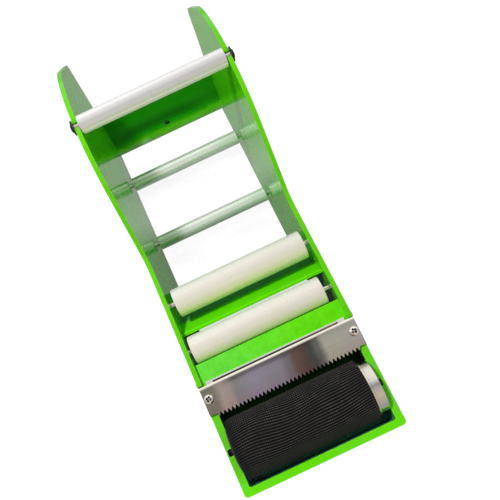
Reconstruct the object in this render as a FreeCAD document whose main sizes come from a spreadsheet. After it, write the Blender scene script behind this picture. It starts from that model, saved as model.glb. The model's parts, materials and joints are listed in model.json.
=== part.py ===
import FreeCAD, Part

import os
import re

import Sketcher

# Gummed tape dispenser: two hump-backed side plates carry a water tank with a wetting roller,
# a toothed cutter with a tape throat, two guide rollers, a cradle of two support rollers
# and a lift-out spindle.
# Frame: origin at the middle of the footprint on the standing surface, +Z up, +X to the right
# of someone who looks from the tank along +Y towards the tape roll.
# Places along the machine are distances back from the front face, heights are above the
# standing surface. All sizes are millimetres and live in the spreadsheet "sizes".

SIZES = [
    # whole machine
    ("frame_length", 347.0, "front face to the rearmost point of the side plates"),
    ("throat_width", 89.6, "tape slot between its end spacers, a little over the widest tape"),
    ("rim_height", 109.0, "top of the tank rim"),
    ("spindle_height", 167.0, "spindle axis"),
    ("plate_thickness", 3.2, "side plates and front panel"),
    # side plates
    ("corner_radius", 2.5, "upright outer corners at the front"),
    ("recess_rise", 2.7, "step behind the cutter, above the underside of the cutter"),
    ("waist_back", 180.2, "low point of the top edge to the rearmost point"),
    ("waist_rise", 2.4, "low point of the top edge above the tank rim"),
    ("waist_radius", 20.0, "hollow curve at the low point"),
    ("crown_back", 107.0, "corner of the outline above the hump to the rearmost point"),
    ("crown_rise", 13.5, "that corner, before it is rounded, above the spindle axis"),
    ("crown_radius", 68.0, "curve over the top of the hump"),
    ("shoulder_back", 43.4, "corner of the outline behind the hump to the rearmost point"),
    ("shoulder_drop", 10.5, "that corner, before it is rounded, below the spindle axis"),
    ("shoulder_radius", 78.0, "curve behind the hump"),
    ("tail_overrun", 1.43, "rear corner, before it is rounded, beyond the rearmost point"),
    ("tail_drop", 63.0, "rear corner below the spindle axis"),
    ("tail_radius", 12.0, "curve of the rear corner"),
    ("foot_back", 30.0, "rear end of the lower edge to the rearmost point"),
    # tank
    ("rim_thickness", 2.0, "tank rim"),
    ("rim_gap", 0.2, "rear edge of the rim to the cutter"),
    ("tank_wall", 1.8, "tank walls"),
    ("tank_floor", 2.0, "tank floor"),
    ("tank_depth", 37.0, "rim to the inside of the tank floor"),
    ("tank_corner", 1.5, "upright corners inside the tank"),
    # wetting roller
    ("drum_front_gap", 3.92, "cover of the wetting roller to the front wall of the tank"),
    ("drum_rear_gap", 8.12, "cover of the wetting roller to the rear wall of the tank"),
    ("drum_side_gap", 0.5, "ends of the wetting roller to the side walls of the tank"),
    ("drum_drop", 2.5, "wetting roller axis below the rim"),
    ("drum_axle_reach", 0.7, "wetting roller axle into either side plate"),
    ("core_radius", 16.2, "core tube outside"),
    ("core_wall", 1.2, "core tube"),
    ("cap_wall", 1.0, "end cap skirt"),
    ("cap_face", 1.2, "end cap and end plug faces"),
    ("cap_skirt", 7.2, "end cap skirt along the axis"),
    ("cap_bead", 1.8, "bead at the open edge of the end cap"),
    ("cap_bead_rise", 0.6, "bead above the skirt"),
    ("cap_bead_slope", 0.5, "sloping sides of the bead"),
    ("hub_radius", 5.0, "hubs inside the core tube"),
    ("hub_length", 9.0, "hubs inside the core tube"),
    ("spigot_length", 6.0, "end plug inside the core tube"),
    ("sponge_thickness", 2.9, "sponge on the core"),
    ("cover_thickness", 0.8, "knitted cover on the sponge"),
    ("cover_inset", 1.4, "left end of the cover to the outer face of the end plug"),
    ("cover_turn_in", 0.3, "sponge ends inside the ends of the cover"),
    ("notch_skin_left", 0.9, "left side plate left outside the axle notch"),
    ("notch_skin_right", 2.2, "right side plate left outside the axle notch"),
    # cutter and throat
    ("blade_overhang", 2.5, "front edge of the cutter before the rear wall of the tank"),
    ("blade_depth", 18.9, "front edge to rear edge of the cutter"),
    ("blade_thickness", 1.2, "cutter sheet"),
    ("blade_side_gap", 0.1, "cutter ends to the outer faces of the side plates"),
    ("blade_end_gap", 0.8, "cutter rear edge to the step in the side plates"),
    ("tooth_margin", 5.0, "plain edge of the cutter at either end"),
    ("tooth_pitch", 2.75, "tooth to tooth"),
    ("tooth_length", 2.2, "tooth beyond the front edge"),
    ("tooth_base", 2.3, "tooth width at its root"),
    ("tooth_point", 0.3, "tooth width at its point"),
    ("mouth_rise", 0.9, "upturned rear edge of the cutter"),
    ("spacer_width", 2.5, "end spacers of the tape slot, beside the screw bosses"),
    ("throat_gap", 1.2, "tape slot under the cutter"),
    ("throat_sheet", 0.8, "lower guide of the tape slot"),
    ("throat_side_gap", 2.2, "ends of the lower guide to the side plates"),
    ("throat_setback", 1.5, "front edge of the lower guide behind that of the cutter"),
    ("throat_mouth", 2.5, "lower guide beyond the rear edge of the cutter"),
    # cutter screws
    ("blade_screw_inset", 3.7, "screw axis to the outer face of the side plate"),
    ("blade_screw_setback", 10.2, "screw axis behind the front edge of the cutter"),
    ("blade_screw_radius", 1.75, "thread"),
    ("blade_screw_length", 11.0, "under the head"),
    ("blade_head_radius", 3.4, "pan head"),
    ("blade_head_height", 2.2, "pan head"),
    ("blade_cross_reach", 2.0, "arms of the cross recess"),
    ("boss_width", 8.2, "screw boss inside the side plate, front to rear"),
    ("boss_reach", 4.7, "screw boss, inwards from the side plate"),
    ("boss_height", 15.0, "screw boss below the cutter"),
    # deck
    ("deck_gap", 1.2, "deck behind the rear wall of the tank"),
    ("deck_depth", 28.5, "deck, front to rear"),
    ("deck_thickness", 2.5, "deck"),
    ("deck_skirt", 8.0, "stiffening skirt under the deck"),
    ("deck_skirt_inset", 5.0, "front face of that skirt before the rear edge"),
    # guards before and behind the tape roll
    ("guard_thickness", 2.5, "both guards"),
    ("guard_edge", 0.9, "rounded edges of both guards, on the side of the roll"),
    ("front_guard_gap", 3.9, "top edge of the front guard behind the front guide roller"),
    ("front_guard_drop", 6.0, "top edge of the front guard below the tank rim"),
    ("front_guard_lean", 33.0, "front guard from the upright, degrees"),
    ("front_guard_length", 99.0, "front guard down its slope"),
    ("rear_guard_back", 37.5, "bottom edge of the rear guard to the rearmost point"),
    ("rear_guard_height", 8.0, "height of that edge"),
    ("rear_guard_lean", 16.7, "rear guard from the upright, degrees"),
    ("rear_guard_length", 58.5, "rear guard up its slope"),
    ("fixing_hole_radius", 2.0, "hole for a fixing screw in the rear guard"),
    ("fixing_hole_rise", 12.6, "that hole, up the slope from the bottom edge"),
    # frame screws and the ribs that take them
    ("frame_screw_radius", 1.45, "thread"),
    ("frame_screw_length", 11.0, "under the head"),
    ("frame_head_radius", 2.7, "pan head"),
    ("frame_head_height", 1.8, "pan head"),
    ("frame_cross_reach", 1.6, "arms of the cross recess"),
    ("rib_size", 6.4, "rib that takes a frame screw, across"),
    ("rib_length", 10.0, "rib, inwards from the side plate"),
    ("panel_screw_low", 25.0, "lower screw of the front panel, height"),
    ("panel_screw_high", 58.0, "upper screw of the front panel, height"),
    ("panel_rib_end", 6.0, "front panel rib beyond its screws"),
    ("deck_screw_setback", 16.5, "screw of the deck behind its front edge"),
    ("front_guard_screw_high", 16.0, "front guard screw, down the slope from the top edge"),
    ("front_guard_screw_low", 80.0, "front guard screw, down the slope from the top edge"),
    ("rear_guard_screw_low", 21.0, "rear guard screw, up the slope from the bottom edge"),
    ("rear_guard_screw_high", 48.0, "rear guard screw, up the slope from the bottom edge"),
    # rollers
    ("axle_radius", 2.0, "all axles and the spindle rod"),
    ("axle_edge", 0.3, "broken ends of the axles"),
    ("tube_edge", 0.6, "broken ends of the tubes"),
    ("plug_length", 8.0, "end plugs of the rollers"),
    ("plug_recess", 0.4, "plug face to the tube end"),
    ("guide_radius", 10.0, "guide rollers"),
    ("guide_wall", 1.8, "guide roller tubes"),
    ("guide_side_play", 8.0, "guide rollers shorter than the space between the side plates"),
    ("guide_drop", 4.0, "guide roller axes below the tank rim"),
    ("guide_gap", 0.4, "front guide roller behind the deck"),
    ("guide_pitch", 34.7, "guide roller axis to guide roller axis"),
    ("front_guide_float", -1.7, "front guide roller, sideways place on its axle"),
    ("rear_guide_float", 0.6, "rear guide roller, sideways place on its axle"),
    ("support_radius", 6.0, "support rollers"),
    ("support_wall", 1.0, "support roller tubes"),
    ("support_side_play", 4.4, "support rollers shorter than the space between the side plates"),
    ("support_height", 21.0, "support roller axes"),
    ("front_support_back", 137.0, "front support roller axis to the rearmost point"),
    ("rear_support_back", 77.0, "rear support roller axis to the rearmost point"),
    ("spindle_radius", 6.3, "spindle roller"),
    ("spindle_wall", 1.6, "spindle roller tube"),
    ("spindle_side_gap", 0.5, "spindle roller end to the side plate"),
    ("spindle_back", 94.5, "spindle axis to the rearmost point"),
    ("clip_gap", 0.5, "push-on clip to the outer face of the side plate"),
    ("clip_radius", 5.1, "push-on clips on the spindle rod"),
    ("clip_thickness", 0.8, "sheet of the clips"),
    ("clip_hub_radius", 3.3, "raised collar of the clips"),
    ("clip_hub_rise", 0.9, "raised collar of the clips"),
    ("rod_proud", 0.4, "spindle rod beyond the clips"),
    # fits
    ("socket_depth", 2.0, "blind axle sockets in the side plates"),
    ("socket_end_gap", 0.1, "axle end to the bottom of its socket"),
    ("push_clearance", 0.04, "radial, pieces that are pushed together"),
    ("running_clearance", 0.06, "radial, plug bores that turn on an axle"),
    ("seat_clearance", 0.25, "radial, an axle that lies in an open notch"),
    ("slack", 0.3, "gap between neighbours that don't bear on each other"),
    ("cross_width", 0.9, "arm width of the screw recesses"),
    ("cross_depth", 1.2, "screw recesses"),
]

DERIVED = {
    # across the machine
    "outer_half": "throat_width / 2 + spacer_width + slack + boss_reach + plate_thickness",
    "inner_half": "outer_half - plate_thickness",
    "tank_inner_half": "inner_half - tank_wall",
    "boss_half": "inner_half - boss_reach",
    "blade_half": "outer_half - blade_side_gap",
    "blade_screw_half": "outer_half - blade_screw_inset",
    "throat_half": "inner_half - throat_side_gap",
    "axle_half": "inner_half + socket_depth - socket_end_gap",
    "guide_half": "inner_half - guide_side_play / 2",
    "support_half": "inner_half - support_side_play / 2",
    "spindle_half": "inner_half - spindle_side_gap",
    "clip_inner": "outer_half + clip_gap",
    "clip_outer": "clip_inner + clip_thickness + clip_hub_rise",
    "drum_axle_half": "inner_half + drum_axle_reach",
    "drum_half": "tank_inner_half - drum_side_gap",
    "cap_inner_face": "drum_half - cap_face",
    "cap_open_edge": "drum_half - cap_skirt",
    "cover_left": "cover_inset - drum_half",
    "cover_right": "cap_open_edge - slack",
    # radii
    "notch_half": "axle_radius + seat_clearance",
    "socket_radius": "axle_radius + push_clearance",
    "plug_bore": "axle_radius + running_clearance",
    "core_bore": "core_radius - core_wall",
    "cap_radius": "core_radius + push_clearance + cap_wall",
    "sponge_radius": "core_radius + push_clearance + sponge_thickness",
    "cover_radius": "sponge_radius + push_clearance + cover_thickness",
    # heights
    "rim_bottom": "rim_height - rim_thickness",
    "tank_bottom": "rim_height - tank_depth - tank_floor",
    "deck_top": "rim_height + slack",
    "deck_bottom": "deck_top - deck_thickness",
    "throat_top": "deck_top + throat_sheet",
    "blade_bottom": "throat_top + throat_gap",
    "blade_top": "blade_bottom + blade_thickness",
    "recess_height": "blade_bottom + recess_rise",
    "drum_height": "rim_height - drum_drop",
    "guide_height": "rim_height - guide_drop",
    "front_guard_height": "rim_height - front_guard_drop",
    "deck_screw_height": "deck_bottom - rib_size / 2",
    "waist_height": "rim_height + waist_rise",
    "crown_corner": "spindle_height + crown_rise",
    "shoulder_height": "spindle_height - shoulder_drop",
    "tail_height": "spindle_height - tail_drop",
    # places from the front face, handed on from piece to piece
    "tank_front": "plate_thickness + tank_wall",
    "drum_place": "tank_front + drum_front_gap + cover_radius",
    "tank_rear": "drum_place + cover_radius + drum_rear_gap",
    "blade_place": "tank_rear - blade_overhang",
    "rim_rear": "blade_place - rim_gap",
    "blade_rear": "blade_place + blade_depth",
    "recess_rear": "blade_rear + blade_end_gap",
    "throat_place": "blade_place + throat_setback",
    "throat_rear": "blade_rear + throat_mouth",
    "blade_screw_place": "blade_place + blade_screw_setback",
    "boss_front": "blade_screw_place - boss_width / 2",
    "boss_rear": "blade_screw_place + boss_width / 2",
    "deck_place": "tank_rear + tank_wall + deck_gap",
    "deck_rear": "deck_place + deck_depth",
    "deck_skirt_place": "deck_rear - deck_skirt_inset",
    "deck_screw_place": "deck_place + deck_screw_setback",
    "panel_screw_place": "plate_thickness + rib_size / 2",
    "front_guide_place": "deck_rear + guide_gap + guide_radius",
    "rear_guide_place": "front_guide_place + guide_pitch",
    "front_guard_place": "front_guide_place + guide_radius + front_guard_gap",
    # places from the front face, set out from the rear
    "waist_place": "frame_length - waist_back",
    "crown_place": "frame_length - crown_back",
    "shoulder_place": "frame_length - shoulder_back",
    "tail_place": "frame_length + tail_overrun",
    "foot_place": "frame_length - foot_back",
    "front_support_place": "frame_length - front_support_back",
    "rear_support_place": "frame_length - rear_support_back",
    "spindle_place": "frame_length - spindle_back",
    "rear_guard_place": "frame_length - rear_guard_back",
    # curve of the hump, no larger than the straight stretch behind it leaves room for
    "front_slope": "atan((crown_corner - waist_height) / (crown_place - waist_place))",
    "top_slope": "atan((crown_corner - shoulder_height) / (shoulder_place - crown_place))",
    "rear_slope": "atan((shoulder_height - tail_height) / (tail_place - shoulder_place))",
    "shoulder_run": "shoulder_radius * tan((rear_slope - top_slope) / 2)",
    "top_run": "(shoulder_place - crown_place) / cos(top_slope) - shoulder_run - slack",
    "crown_curve": "min(crown_radius; top_run / tan((front_slope + top_slope) / 2))",
    # others
    "screw_offset": "guard_thickness + rib_size / 2",
    "tooth_count": "floor(2 * (blade_half - tooth_margin) / tooth_pitch) + 1",
}

document = FreeCAD.newDocument("gummed_tape_dispenser")
sheet = document.addObject("Spreadsheet::Sheet", "sizes")
ALIASES = set()
for row, (alias, size, meaning) in enumerate(SIZES, 1):
    sheet.set("A%d" % row, meaning)
    sheet.set("B%d" % row, str(size))
    sheet.setAlias("B%d" % row, alias)
    ALIASES.add(alias)
document.recompute()


def formula(text):
    """A formula of size names, spelt out as an expression on the spreadsheet."""
    def spell(match):
        name = match.group(0)
        if name in DERIVED:
            return "(" + formula(DERIVED[name]) + ")"
        return "sizes." + name if name in ALIASES else name
    return re.sub(r"[a-z_]+", spell, str(text))


def number(text):
    """The value of a formula now."""
    return float(sheet.evalExpression(formula(text)))


def bind(thing, path, text):
    """Tie a property, or a constraint of a sketch, to a formula."""
    thing.setExpression(path, formula(text))


# ---------------------------------------------------------------- building blocks

SIDE = "YZ_Plane"
TOP = "XY_Plane"
X_AXIS = FreeCAD.Vector(1, 0, 0)
Z_AXIS = FreeCAD.Vector(0, 0, 1)
SAME_PLACE = 0.001
PARTS = []


def new_body(label, place=("0", "0", "0"), several=False):
    """A sub-part of its own, placed by three formulas."""
    body = document.addObject("PartDesign::Body", label)
    body.Label = label
    body.AllowCompound = several
    for axis, text in zip("xyz", place):
        bind(body, "Placement.Base." + axis, text)
    PARTS.append(body)
    return body


def frame_body(label, several=False):
    """A sub-part drawn in distances from the front face."""
    return new_body(label, ("0", "-frame_length / 2", "0"), several)


def new_sketch(body, name, role, height="0"):
    """A sketch on one of the body's own planes, lifted along the plane's normal."""
    sketch = body.newObject("Sketcher::SketchObject", body.Name + "_" + name)
    plane = [item for item in body.Origin.OriginFeatures if item.Role == role][0]
    sketch.AttachmentSupport = [(plane, "")]
    sketch.MapMode = "FlatFace"
    bind(sketch, "AttachmentOffset.Base.z", height)
    return sketch


def hold(sketch, kind, geometry, point, text):
    """Hold one coordinate of a point of the sketch at a formula."""
    index = sketch.addConstraint(
        Sketcher.Constraint(kind, -1, 1, geometry, point, number(text)))
    bind(sketch, "Constraints[%d]" % index, text)


def polygon(sketch, corners):
    """A closed outline of straight edges through corners given as pairs of formulas."""
    first = sketch.GeometryCount
    points = [FreeCAD.Vector(number(a), number(b), 0) for a, b in corners]
    count = len(points)
    for index in range(count):
        line = Part.LineSegment(points[index], points[(index + 1) % count])
        sketch.addGeometry(line, False)
    for index in range(count):
        following = first + (index + 1) % count
        sketch.addConstraint(Sketcher.Constraint("Coincident", first + index, 2, following, 1))
    for index, (across, up) in enumerate(corners):
        hold(sketch, "DistanceX", first + index, 1, across)
        hold(sketch, "DistanceY", first + index, 1, up)


def rectangle(sketch, left, bottom, right, top):
    """A rectangle between two corners."""
    polygon(sketch, [(left, bottom), (right, bottom), (right, top), (left, top)])


def circle(sketch, across, up, radius):
    """A circle about a point given by two formulas."""
    centre = FreeCAD.Vector(number(across), number(up), 0)
    index = sketch.addGeometry(Part.Circle(centre, FreeCAD.Vector(0, 0, 1), number(radius)), False)
    hold(sketch, "DistanceX", index, 3, across)
    hold(sketch, "DistanceY", index, 3, up)
    radius_index = sketch.addConstraint(Sketcher.Constraint("Radius", index, number(radius)))
    bind(sketch, "Constraints[%d]" % radius_index, radius)


def pad(body, sketch, length, backwards=False, midplane=False):
    """Material along the normal of the sketch."""
    feature = body.newObject("PartDesign::Pad", sketch.Name + "_pad")
    feature.Profile = sketch
    feature.Reversed = backwards
    feature.Midplane = midplane
    bind(feature, "Length", length)
    document.recompute()
    return feature


def pocket(body, sketch, length, backwards=False):
    """A cut against the normal of the sketch; it has to take material away."""
    before = body.Shape.Volume
    feature = body.newObject("PartDesign::Pocket", sketch.Name + "_pocket")
    feature.Profile = sketch
    feature.Reversed = backwards
    bind(feature, "Length", length)
    document.recompute()
    if body.Shape.Volume >= before:
        raise RuntimeError(sketch.Name + " cuts nothing")
    return feature


def revolve(body, sketch):
    """Material turned about the X axis."""
    feature = body.newObject("PartDesign::Revolution", sketch.Name + "_turned")
    feature.Profile = sketch
    feature.ReferenceAxis = (sketch, ["H_Axis"])
    feature.Angle = 360
    document.recompute()
    return feature


def mirror(body, features):
    """The same features on the other side of the middle of the machine."""
    feature = body.newObject("PartDesign::Mirrored", body.Name + "_mirrored")
    feature.Originals = features
    plane = [item for item in body.Origin.OriginFeatures if item.Role == SIDE][0]
    feature.MirrorPlane = (plane, [""])
    body.Tip = feature
    document.recompute()
    return feature


def straight_edges(shape, direction, places):
    """Names of the straight edges along a direction that pass through the given places."""
    names = []
    for index, edge in enumerate(shape.Edges, 1):
        start, end = edge.Vertexes[0].Point, edge.Vertexes[-1].Point
        run = end - start
        if run.Length < SAME_PLACE or run.cross(direction).Length > SAME_PLACE:
            continue
        for place in places:
            gap = start - place
            if gap.cross(direction).Length < SAME_PLACE:
                names.append("Edge%d" % index)
    return names


def fillet(body, feature, names, radius):
    """Round some edges of the last feature."""
    rounded = body.newObject("PartDesign::Fillet", "%s_round_%d" % (body.Name, len(body.Group)))
    rounded.Base = (feature, names)
    bind(rounded, "Radius", radius)
    document.recompute()
    return rounded


def ring_section(sketch, left, right, inner, outer, edge="0"):
    """Half section of a ring about the X axis, its outer edges broken."""
    if edge == "0":
        rectangle(sketch, left, inner, right, outer)
        return
    polygon(sketch, [
        (left, inner), (right, inner), (right, outer + " - " + edge),
        (right + " - " + edge, outer), (left + " + " + edge, outer), (left, outer + " - " + edge)])




# ---------------------------------------------------------------- frame

# Axes of the frame screws, as distance from the front face and height.
def guard_screw(end, along, sign):
    """Axis of a guard screw: along the slope from the guard's edge, and behind the guard."""
    lean = end + "_guard_lean"
    return ("%s_guard_place + %s * sin(%s) %s screw_offset * cos(%s)" % (end, along, lean, sign, lean),
            "%s_guard_height %s %s * cos(%s) - screw_offset * sin(%s)" % (end, sign, along, lean, lean))


FRAME_SCREWS = [
    ("panel_screw_place", "panel_screw_low"),
    ("panel_screw_place", "panel_screw_high"),
    ("deck_screw_place", "deck_screw_height"),
    guard_screw("front", "front_guard_screw_high", "-"),
    guard_screw("front", "front_guard_screw_low", "-"),
    guard_screw("rear", "rear_guard_screw_low", "+"),
    guard_screw("rear", "rear_guard_screw_high", "+"),
]

PLATE_OUTLINE = [
    ("0", "0"), ("0", "rim_bottom"), ("rim_rear", "rim_bottom"), ("rim_rear", "blade_bottom"),
    ("recess_rear", "blade_bottom"), ("recess_rear", "recess_height"),
    ("waist_place", "waist_height"), ("crown_place", "crown_corner"),
    ("shoulder_place", "shoulder_height"), ("tail_place", "tail_height"), ("foot_place", "0"),
]


def side_plate(label, side, notch_skin):
    """Side plate: outline with rounded hump, axle sockets, open notches and a screw boss."""
    body = frame_body(label)
    inner = "%d * inner_half" % side
    outline = new_sketch(body, "outline", SIDE, inner)
    polygon(outline, PLATE_OUTLINE)
    feature = pad(body, outline, "plate_thickness", backwards=side < 0)
    curves = [("crown_place", "crown_corner", "crown_curve"),
              ("shoulder_place", "shoulder_height", "shoulder_radius"),
              ("waist_place", "waist_height", "waist_radius"),
              ("tail_place", "tail_height", "tail_radius")]
    for across, up, radius in curves:
        corner = FreeCAD.Vector(0, number(across), number(up))
        feature = fillet(body, feature, straight_edges(feature.Shape, X_AXIS, [corner]), radius)
    front_corner = FreeCAD.Vector(side * number("outer_half"), 0, 0)
    names = straight_edges(feature.Shape, Z_AXIS, [front_corner])
    fillet(body, feature, names, "corner_radius")

    boss = new_sketch(body, "boss", TOP, "blade_bottom - boss_height")
    rectangle(boss, "%d * boss_half" % side, "boss_front", inner, "boss_rear")
    pad(body, boss, "boss_height")

    thread = new_sketch(body, "thread", TOP, "blade_bottom")
    circle(thread, "%d * blade_screw_half" % side, "blade_screw_place",
           "blade_screw_radius + push_clearance")
    pocket(body, thread, "blade_screw_length + slack")

    sockets = new_sketch(body, "sockets", SIDE, inner)
    for place, height in AXLES:
        circle(sockets, place, height, "socket_radius")
    pocket(body, sockets, "socket_depth", backwards=side > 0)

    holes = new_sketch(body, "screw_holes", SIDE, inner)
    for place, height in FRAME_SCREWS:
        circle(holes, place, height, "frame_screw_radius + push_clearance")
    pocket(body, holes, "plate_thickness", backwards=side > 0)

    open_notch(body, "spindle", side, inner, "spindle_place", "spindle_height",
               "crown_corner", "plate_thickness")
    open_notch(body, "drum", side, inner, "drum_place", "drum_height",
               "rim_height + slack", "plate_thickness - " + notch_skin)
    return body


AXLES = [
    ("front_guide_place", "guide_height"), ("rear_guide_place", "guide_height"),
    ("front_support_place", "support_height"), ("rear_support_place", "support_height"),
]


def open_notch(body, name, side, face, place, height, top, depth):
    """Notch with a round bottom, open upwards, cut outwards from a face."""
    seat = new_sketch(body, name + "_seat", SIDE, face)
    circle(seat, place, height, "notch_half")
    pocket(body, seat, depth, backwards=side > 0)
    mouth = new_sketch(body, name + "_mouth", SIDE, face)
    rectangle(mouth, place + " - notch_half", height, place + " + notch_half", top)
    pocket(body, mouth, depth, backwards=side > 0)


def front_panel():
    """Panel between the side plates under the rim of the tank, with a rib at each end."""
    body = frame_body("front_panel")
    section = new_sketch(body, "panel", SIDE)
    rectangle(section, "0", "0", "plate_thickness", "rim_bottom")
    pad(body, section, "2 * inner_half", midplane=True)
    rib = new_sketch(body, "rib", SIDE, "inner_half - rib_length")
    rectangle(rib, "plate_thickness", "panel_screw_low - panel_rib_end",
              "plate_thickness + rib_size", "panel_screw_high + panel_rib_end")
    ribs = pad(body, rib, "rib_length")
    bores = new_sketch(body, "bores", SIDE, "inner_half")
    for place, height in FRAME_SCREWS[:2]:
        circle(bores, place, height, "frame_screw_radius + push_clearance")
    cut = pocket(body, bores, "frame_screw_length - plate_thickness + slack")
    mirror(body, [ribs, cut])


def water_tank():
    """Tank that hangs by its rim on the side plates and the front panel."""
    body = frame_body("water_tank")
    hull = new_sketch(body, "hull", TOP, "tank_bottom")
    rectangle(hull, "-inner_half", "plate_thickness", "inner_half", "tank_rear + tank_wall")
    pad(body, hull, "rim_height - tank_bottom")
    rim = new_sketch(body, "rim", TOP, "rim_bottom")
    rectangle(rim, "-outer_half", "0", "outer_half", "rim_rear")
    feature = pad(body, rim, "rim_thickness")
    corners = [FreeCAD.Vector(side * number("outer_half"), 0, 0) for side in (-1, 1)]
    fillet(body, feature, straight_edges(feature.Shape, Z_AXIS, corners), "corner_radius")
    well = new_sketch(body, "well", TOP, "rim_height")
    rectangle(well, "-tank_inner_half", "tank_front", "tank_inner_half", "tank_rear")
    feature = pocket(body, well, "tank_depth")
    corners = [FreeCAD.Vector(side * number("tank_inner_half"), number(place), 0)
               for side in (-1, 1) for place in ("tank_front", "tank_rear")]
    fillet(body, feature, straight_edges(feature.Shape, Z_AXIS, corners), "tank_corner")
    for side, skin in ((-1, "notch_skin_left"), (1, "notch_skin_right")):
        face = "%d * (tank_inner_half - slack)" % side
        open_notch(body, "left" if side < 0 else "right", side, face, "drum_place",
                   "drum_height", "rim_height + slack",
                   "outer_half - tank_inner_half + slack - " + skin)


def tape_deck():
    """Deck behind the tank, cut away round the screw bosses, with a skirt and a rib at each end."""
    body = frame_body("tape_deck")
    plan = new_sketch(body, "plan", TOP, "deck_bottom")
    polygon(plan, [
        ("-(boss_half - slack)", "deck_place"), ("boss_half - slack", "deck_place"),
        ("boss_half - slack", "boss_rear + slack"), ("inner_half", "boss_rear + slack"),
        ("inner_half", "deck_rear"), ("-inner_half", "deck_rear"),
        ("-inner_half", "boss_rear + slack"), ("-(boss_half - slack)", "boss_rear + slack")])
    pad(body, plan, "deck_thickness")
    skirt = new_sketch(body, "skirt", SIDE)
    rectangle(skirt, "deck_skirt_place", "deck_bottom - deck_skirt",
              "deck_skirt_place + deck_thickness", "deck_bottom")
    pad(body, skirt, "2 * inner_half", midplane=True)
    rib = new_sketch(body, "rib", SIDE, "inner_half - rib_length")
    rectangle(rib, "deck_screw_place - rib_size / 2", "deck_bottom - rib_size",
              "deck_screw_place + rib_size / 2", "deck_bottom")
    ribs = pad(body, rib, "rib_length")
    bores = new_sketch(body, "bores", SIDE, "inner_half")
    circle(bores, "deck_screw_place", "deck_screw_height", "frame_screw_radius + push_clearance")
    cut = pocket(body, bores, "frame_screw_length - plate_thickness + slack")
    mirror(body, [ribs, cut])


def guard(end, angle, screws):
    """Sloping guard drawn flat: along its slope from one edge, its roll side facing up."""
    length = end + "_guard_length"
    body = new_body("roll_guard_" + end)
    body.Placement = FreeCAD.Placement(
        FreeCAD.Vector(), FreeCAD.Rotation(X_AXIS, number(angle)))
    bind(body, "Placement.Rotation.Angle", angle)
    bind(body, "Placement.Base.y", end + "_guard_place - frame_length / 2")
    bind(body, "Placement.Base.z", end + "_guard_height")
    section = new_sketch(body, "section", SIDE)
    rectangle(section, "0", "-guard_thickness", length, "0")
    feature = pad(body, section, "2 * inner_half", midplane=True)
    ends = [FreeCAD.Vector(0, number(along), 0) for along in ("0", length)]
    fillet(body, feature, straight_edges(feature.Shape, X_AXIS, ends), "guard_edge")
    ribs = new_sketch(body, "ribs", SIDE, "inner_half - rib_length")
    bores = new_sketch(body, "bores", SIDE, "inner_half")
    for along in screws:
        rectangle(ribs, along + " - rib_size / 2", "-screw_offset - rib_size / 2",
                  along + " + rib_size / 2", "-guard_thickness")
        circle(bores, along, "-screw_offset", "frame_screw_radius + push_clearance")
    added = pad(body, ribs, "rib_length")
    cut = pocket(body, bores, "frame_screw_length - plate_thickness + slack")
    mirror(body, [added, cut])
    return body


def guards():
    """The guards before and behind the tape roll."""
    guard("front", "front_guard_lean - 90", ["front_guard_screw_high", "front_guard_screw_low"])
    rear = guard("rear", "90 - rear_guard_lean", ["rear_guard_screw_low", "rear_guard_screw_high"])
    hole = new_sketch(rear, "fixing_hole", TOP)
    circle(hole, "0", "fixing_hole_rise", "fixing_hole_radius")
    pocket(rear, hole, "guard_thickness")


# ---------------------------------------------------------------- cutter

def throat_guide():
    """Lower sheet of the tape slot, with a spacer at each end that carries the cutter."""
    body = frame_body("throat_guide")
    plan = new_sketch(body, "plan", TOP, "deck_top")
    narrow = "boss_half - slack"
    polygon(plan, [
        ("-(%s)" % narrow, "throat_place"), (narrow, "throat_place"),
        (narrow, "boss_rear + slack"), ("throat_half", "boss_rear + slack"),
        ("throat_half", "throat_rear"), ("-throat_half", "throat_rear"),
        ("-throat_half", "boss_rear + slack"), ("-(%s)" % narrow, "boss_rear + slack")])
    pad(body, plan, "throat_sheet")
    spacer = new_sketch(body, "spacer", TOP, "throat_top")
    polygon(spacer, [
        ("throat_width / 2", "throat_place"), (narrow, "throat_place"),
        (narrow, "boss_rear + slack"), ("throat_half", "boss_rear + slack"),
        ("throat_half", "throat_rear"), ("throat_width / 2", "throat_rear")])
    mirror(body, [pad(body, spacer, "throat_gap")])


def cutter_blade():
    """Cutter across both side plates: upturned rear edge, teeth in front, two screw holes."""
    body = frame_body("cutter_blade")
    section = new_sketch(body, "section", SIDE)
    lip = "blade_rear - blade_thickness"
    polygon(section, [
        ("blade_place", "blade_bottom"), (lip + " - mouth_rise", "blade_bottom"),
        ("blade_rear", "blade_bottom + mouth_rise"), ("blade_rear", "blade_top + mouth_rise"),
        (lip + " - mouth_rise", "blade_top"), ("blade_place", "blade_top")])
    pad(body, section, "2 * blade_half", midplane=True)
    holes = new_sketch(body, "holes", TOP, "blade_top")
    for side in (-1, 1):
        circle(holes, "%d * blade_screw_half" % side, "blade_screw_place",
               "blade_screw_radius + push_clearance")
    pocket(body, holes, "blade_thickness")
    tooth = new_sketch(body, "tooth", TOP, "blade_bottom")
    first = "-tooth_pitch * (tooth_count - 1) / 2"
    root = "blade_place + blade_thickness"
    polygon(tooth, [
        (first + " - tooth_base / 2", root), (first + " - tooth_base / 2", "blade_place"),
        (first + " - tooth_point / 2", "blade_place - tooth_length"),
        (first + " + tooth_point / 2", "blade_place - tooth_length"),
        (first + " + tooth_base / 2", "blade_place"), (first + " + tooth_base / 2", root)])
    teeth = pad(body, tooth, "blade_thickness")
    row = body.newObject("PartDesign::LinearPattern", "tooth_row")
    row.Originals = [teeth]
    row.Direction = (tooth, ["H_Axis"])
    bind(row, "Length", "tooth_pitch * (tooth_count - 1)")
    bind(row, "Occurrences", "tooth_count")
    body.Tip = row
    document.recompute()


# ---------------------------------------------------------------- screws

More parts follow.
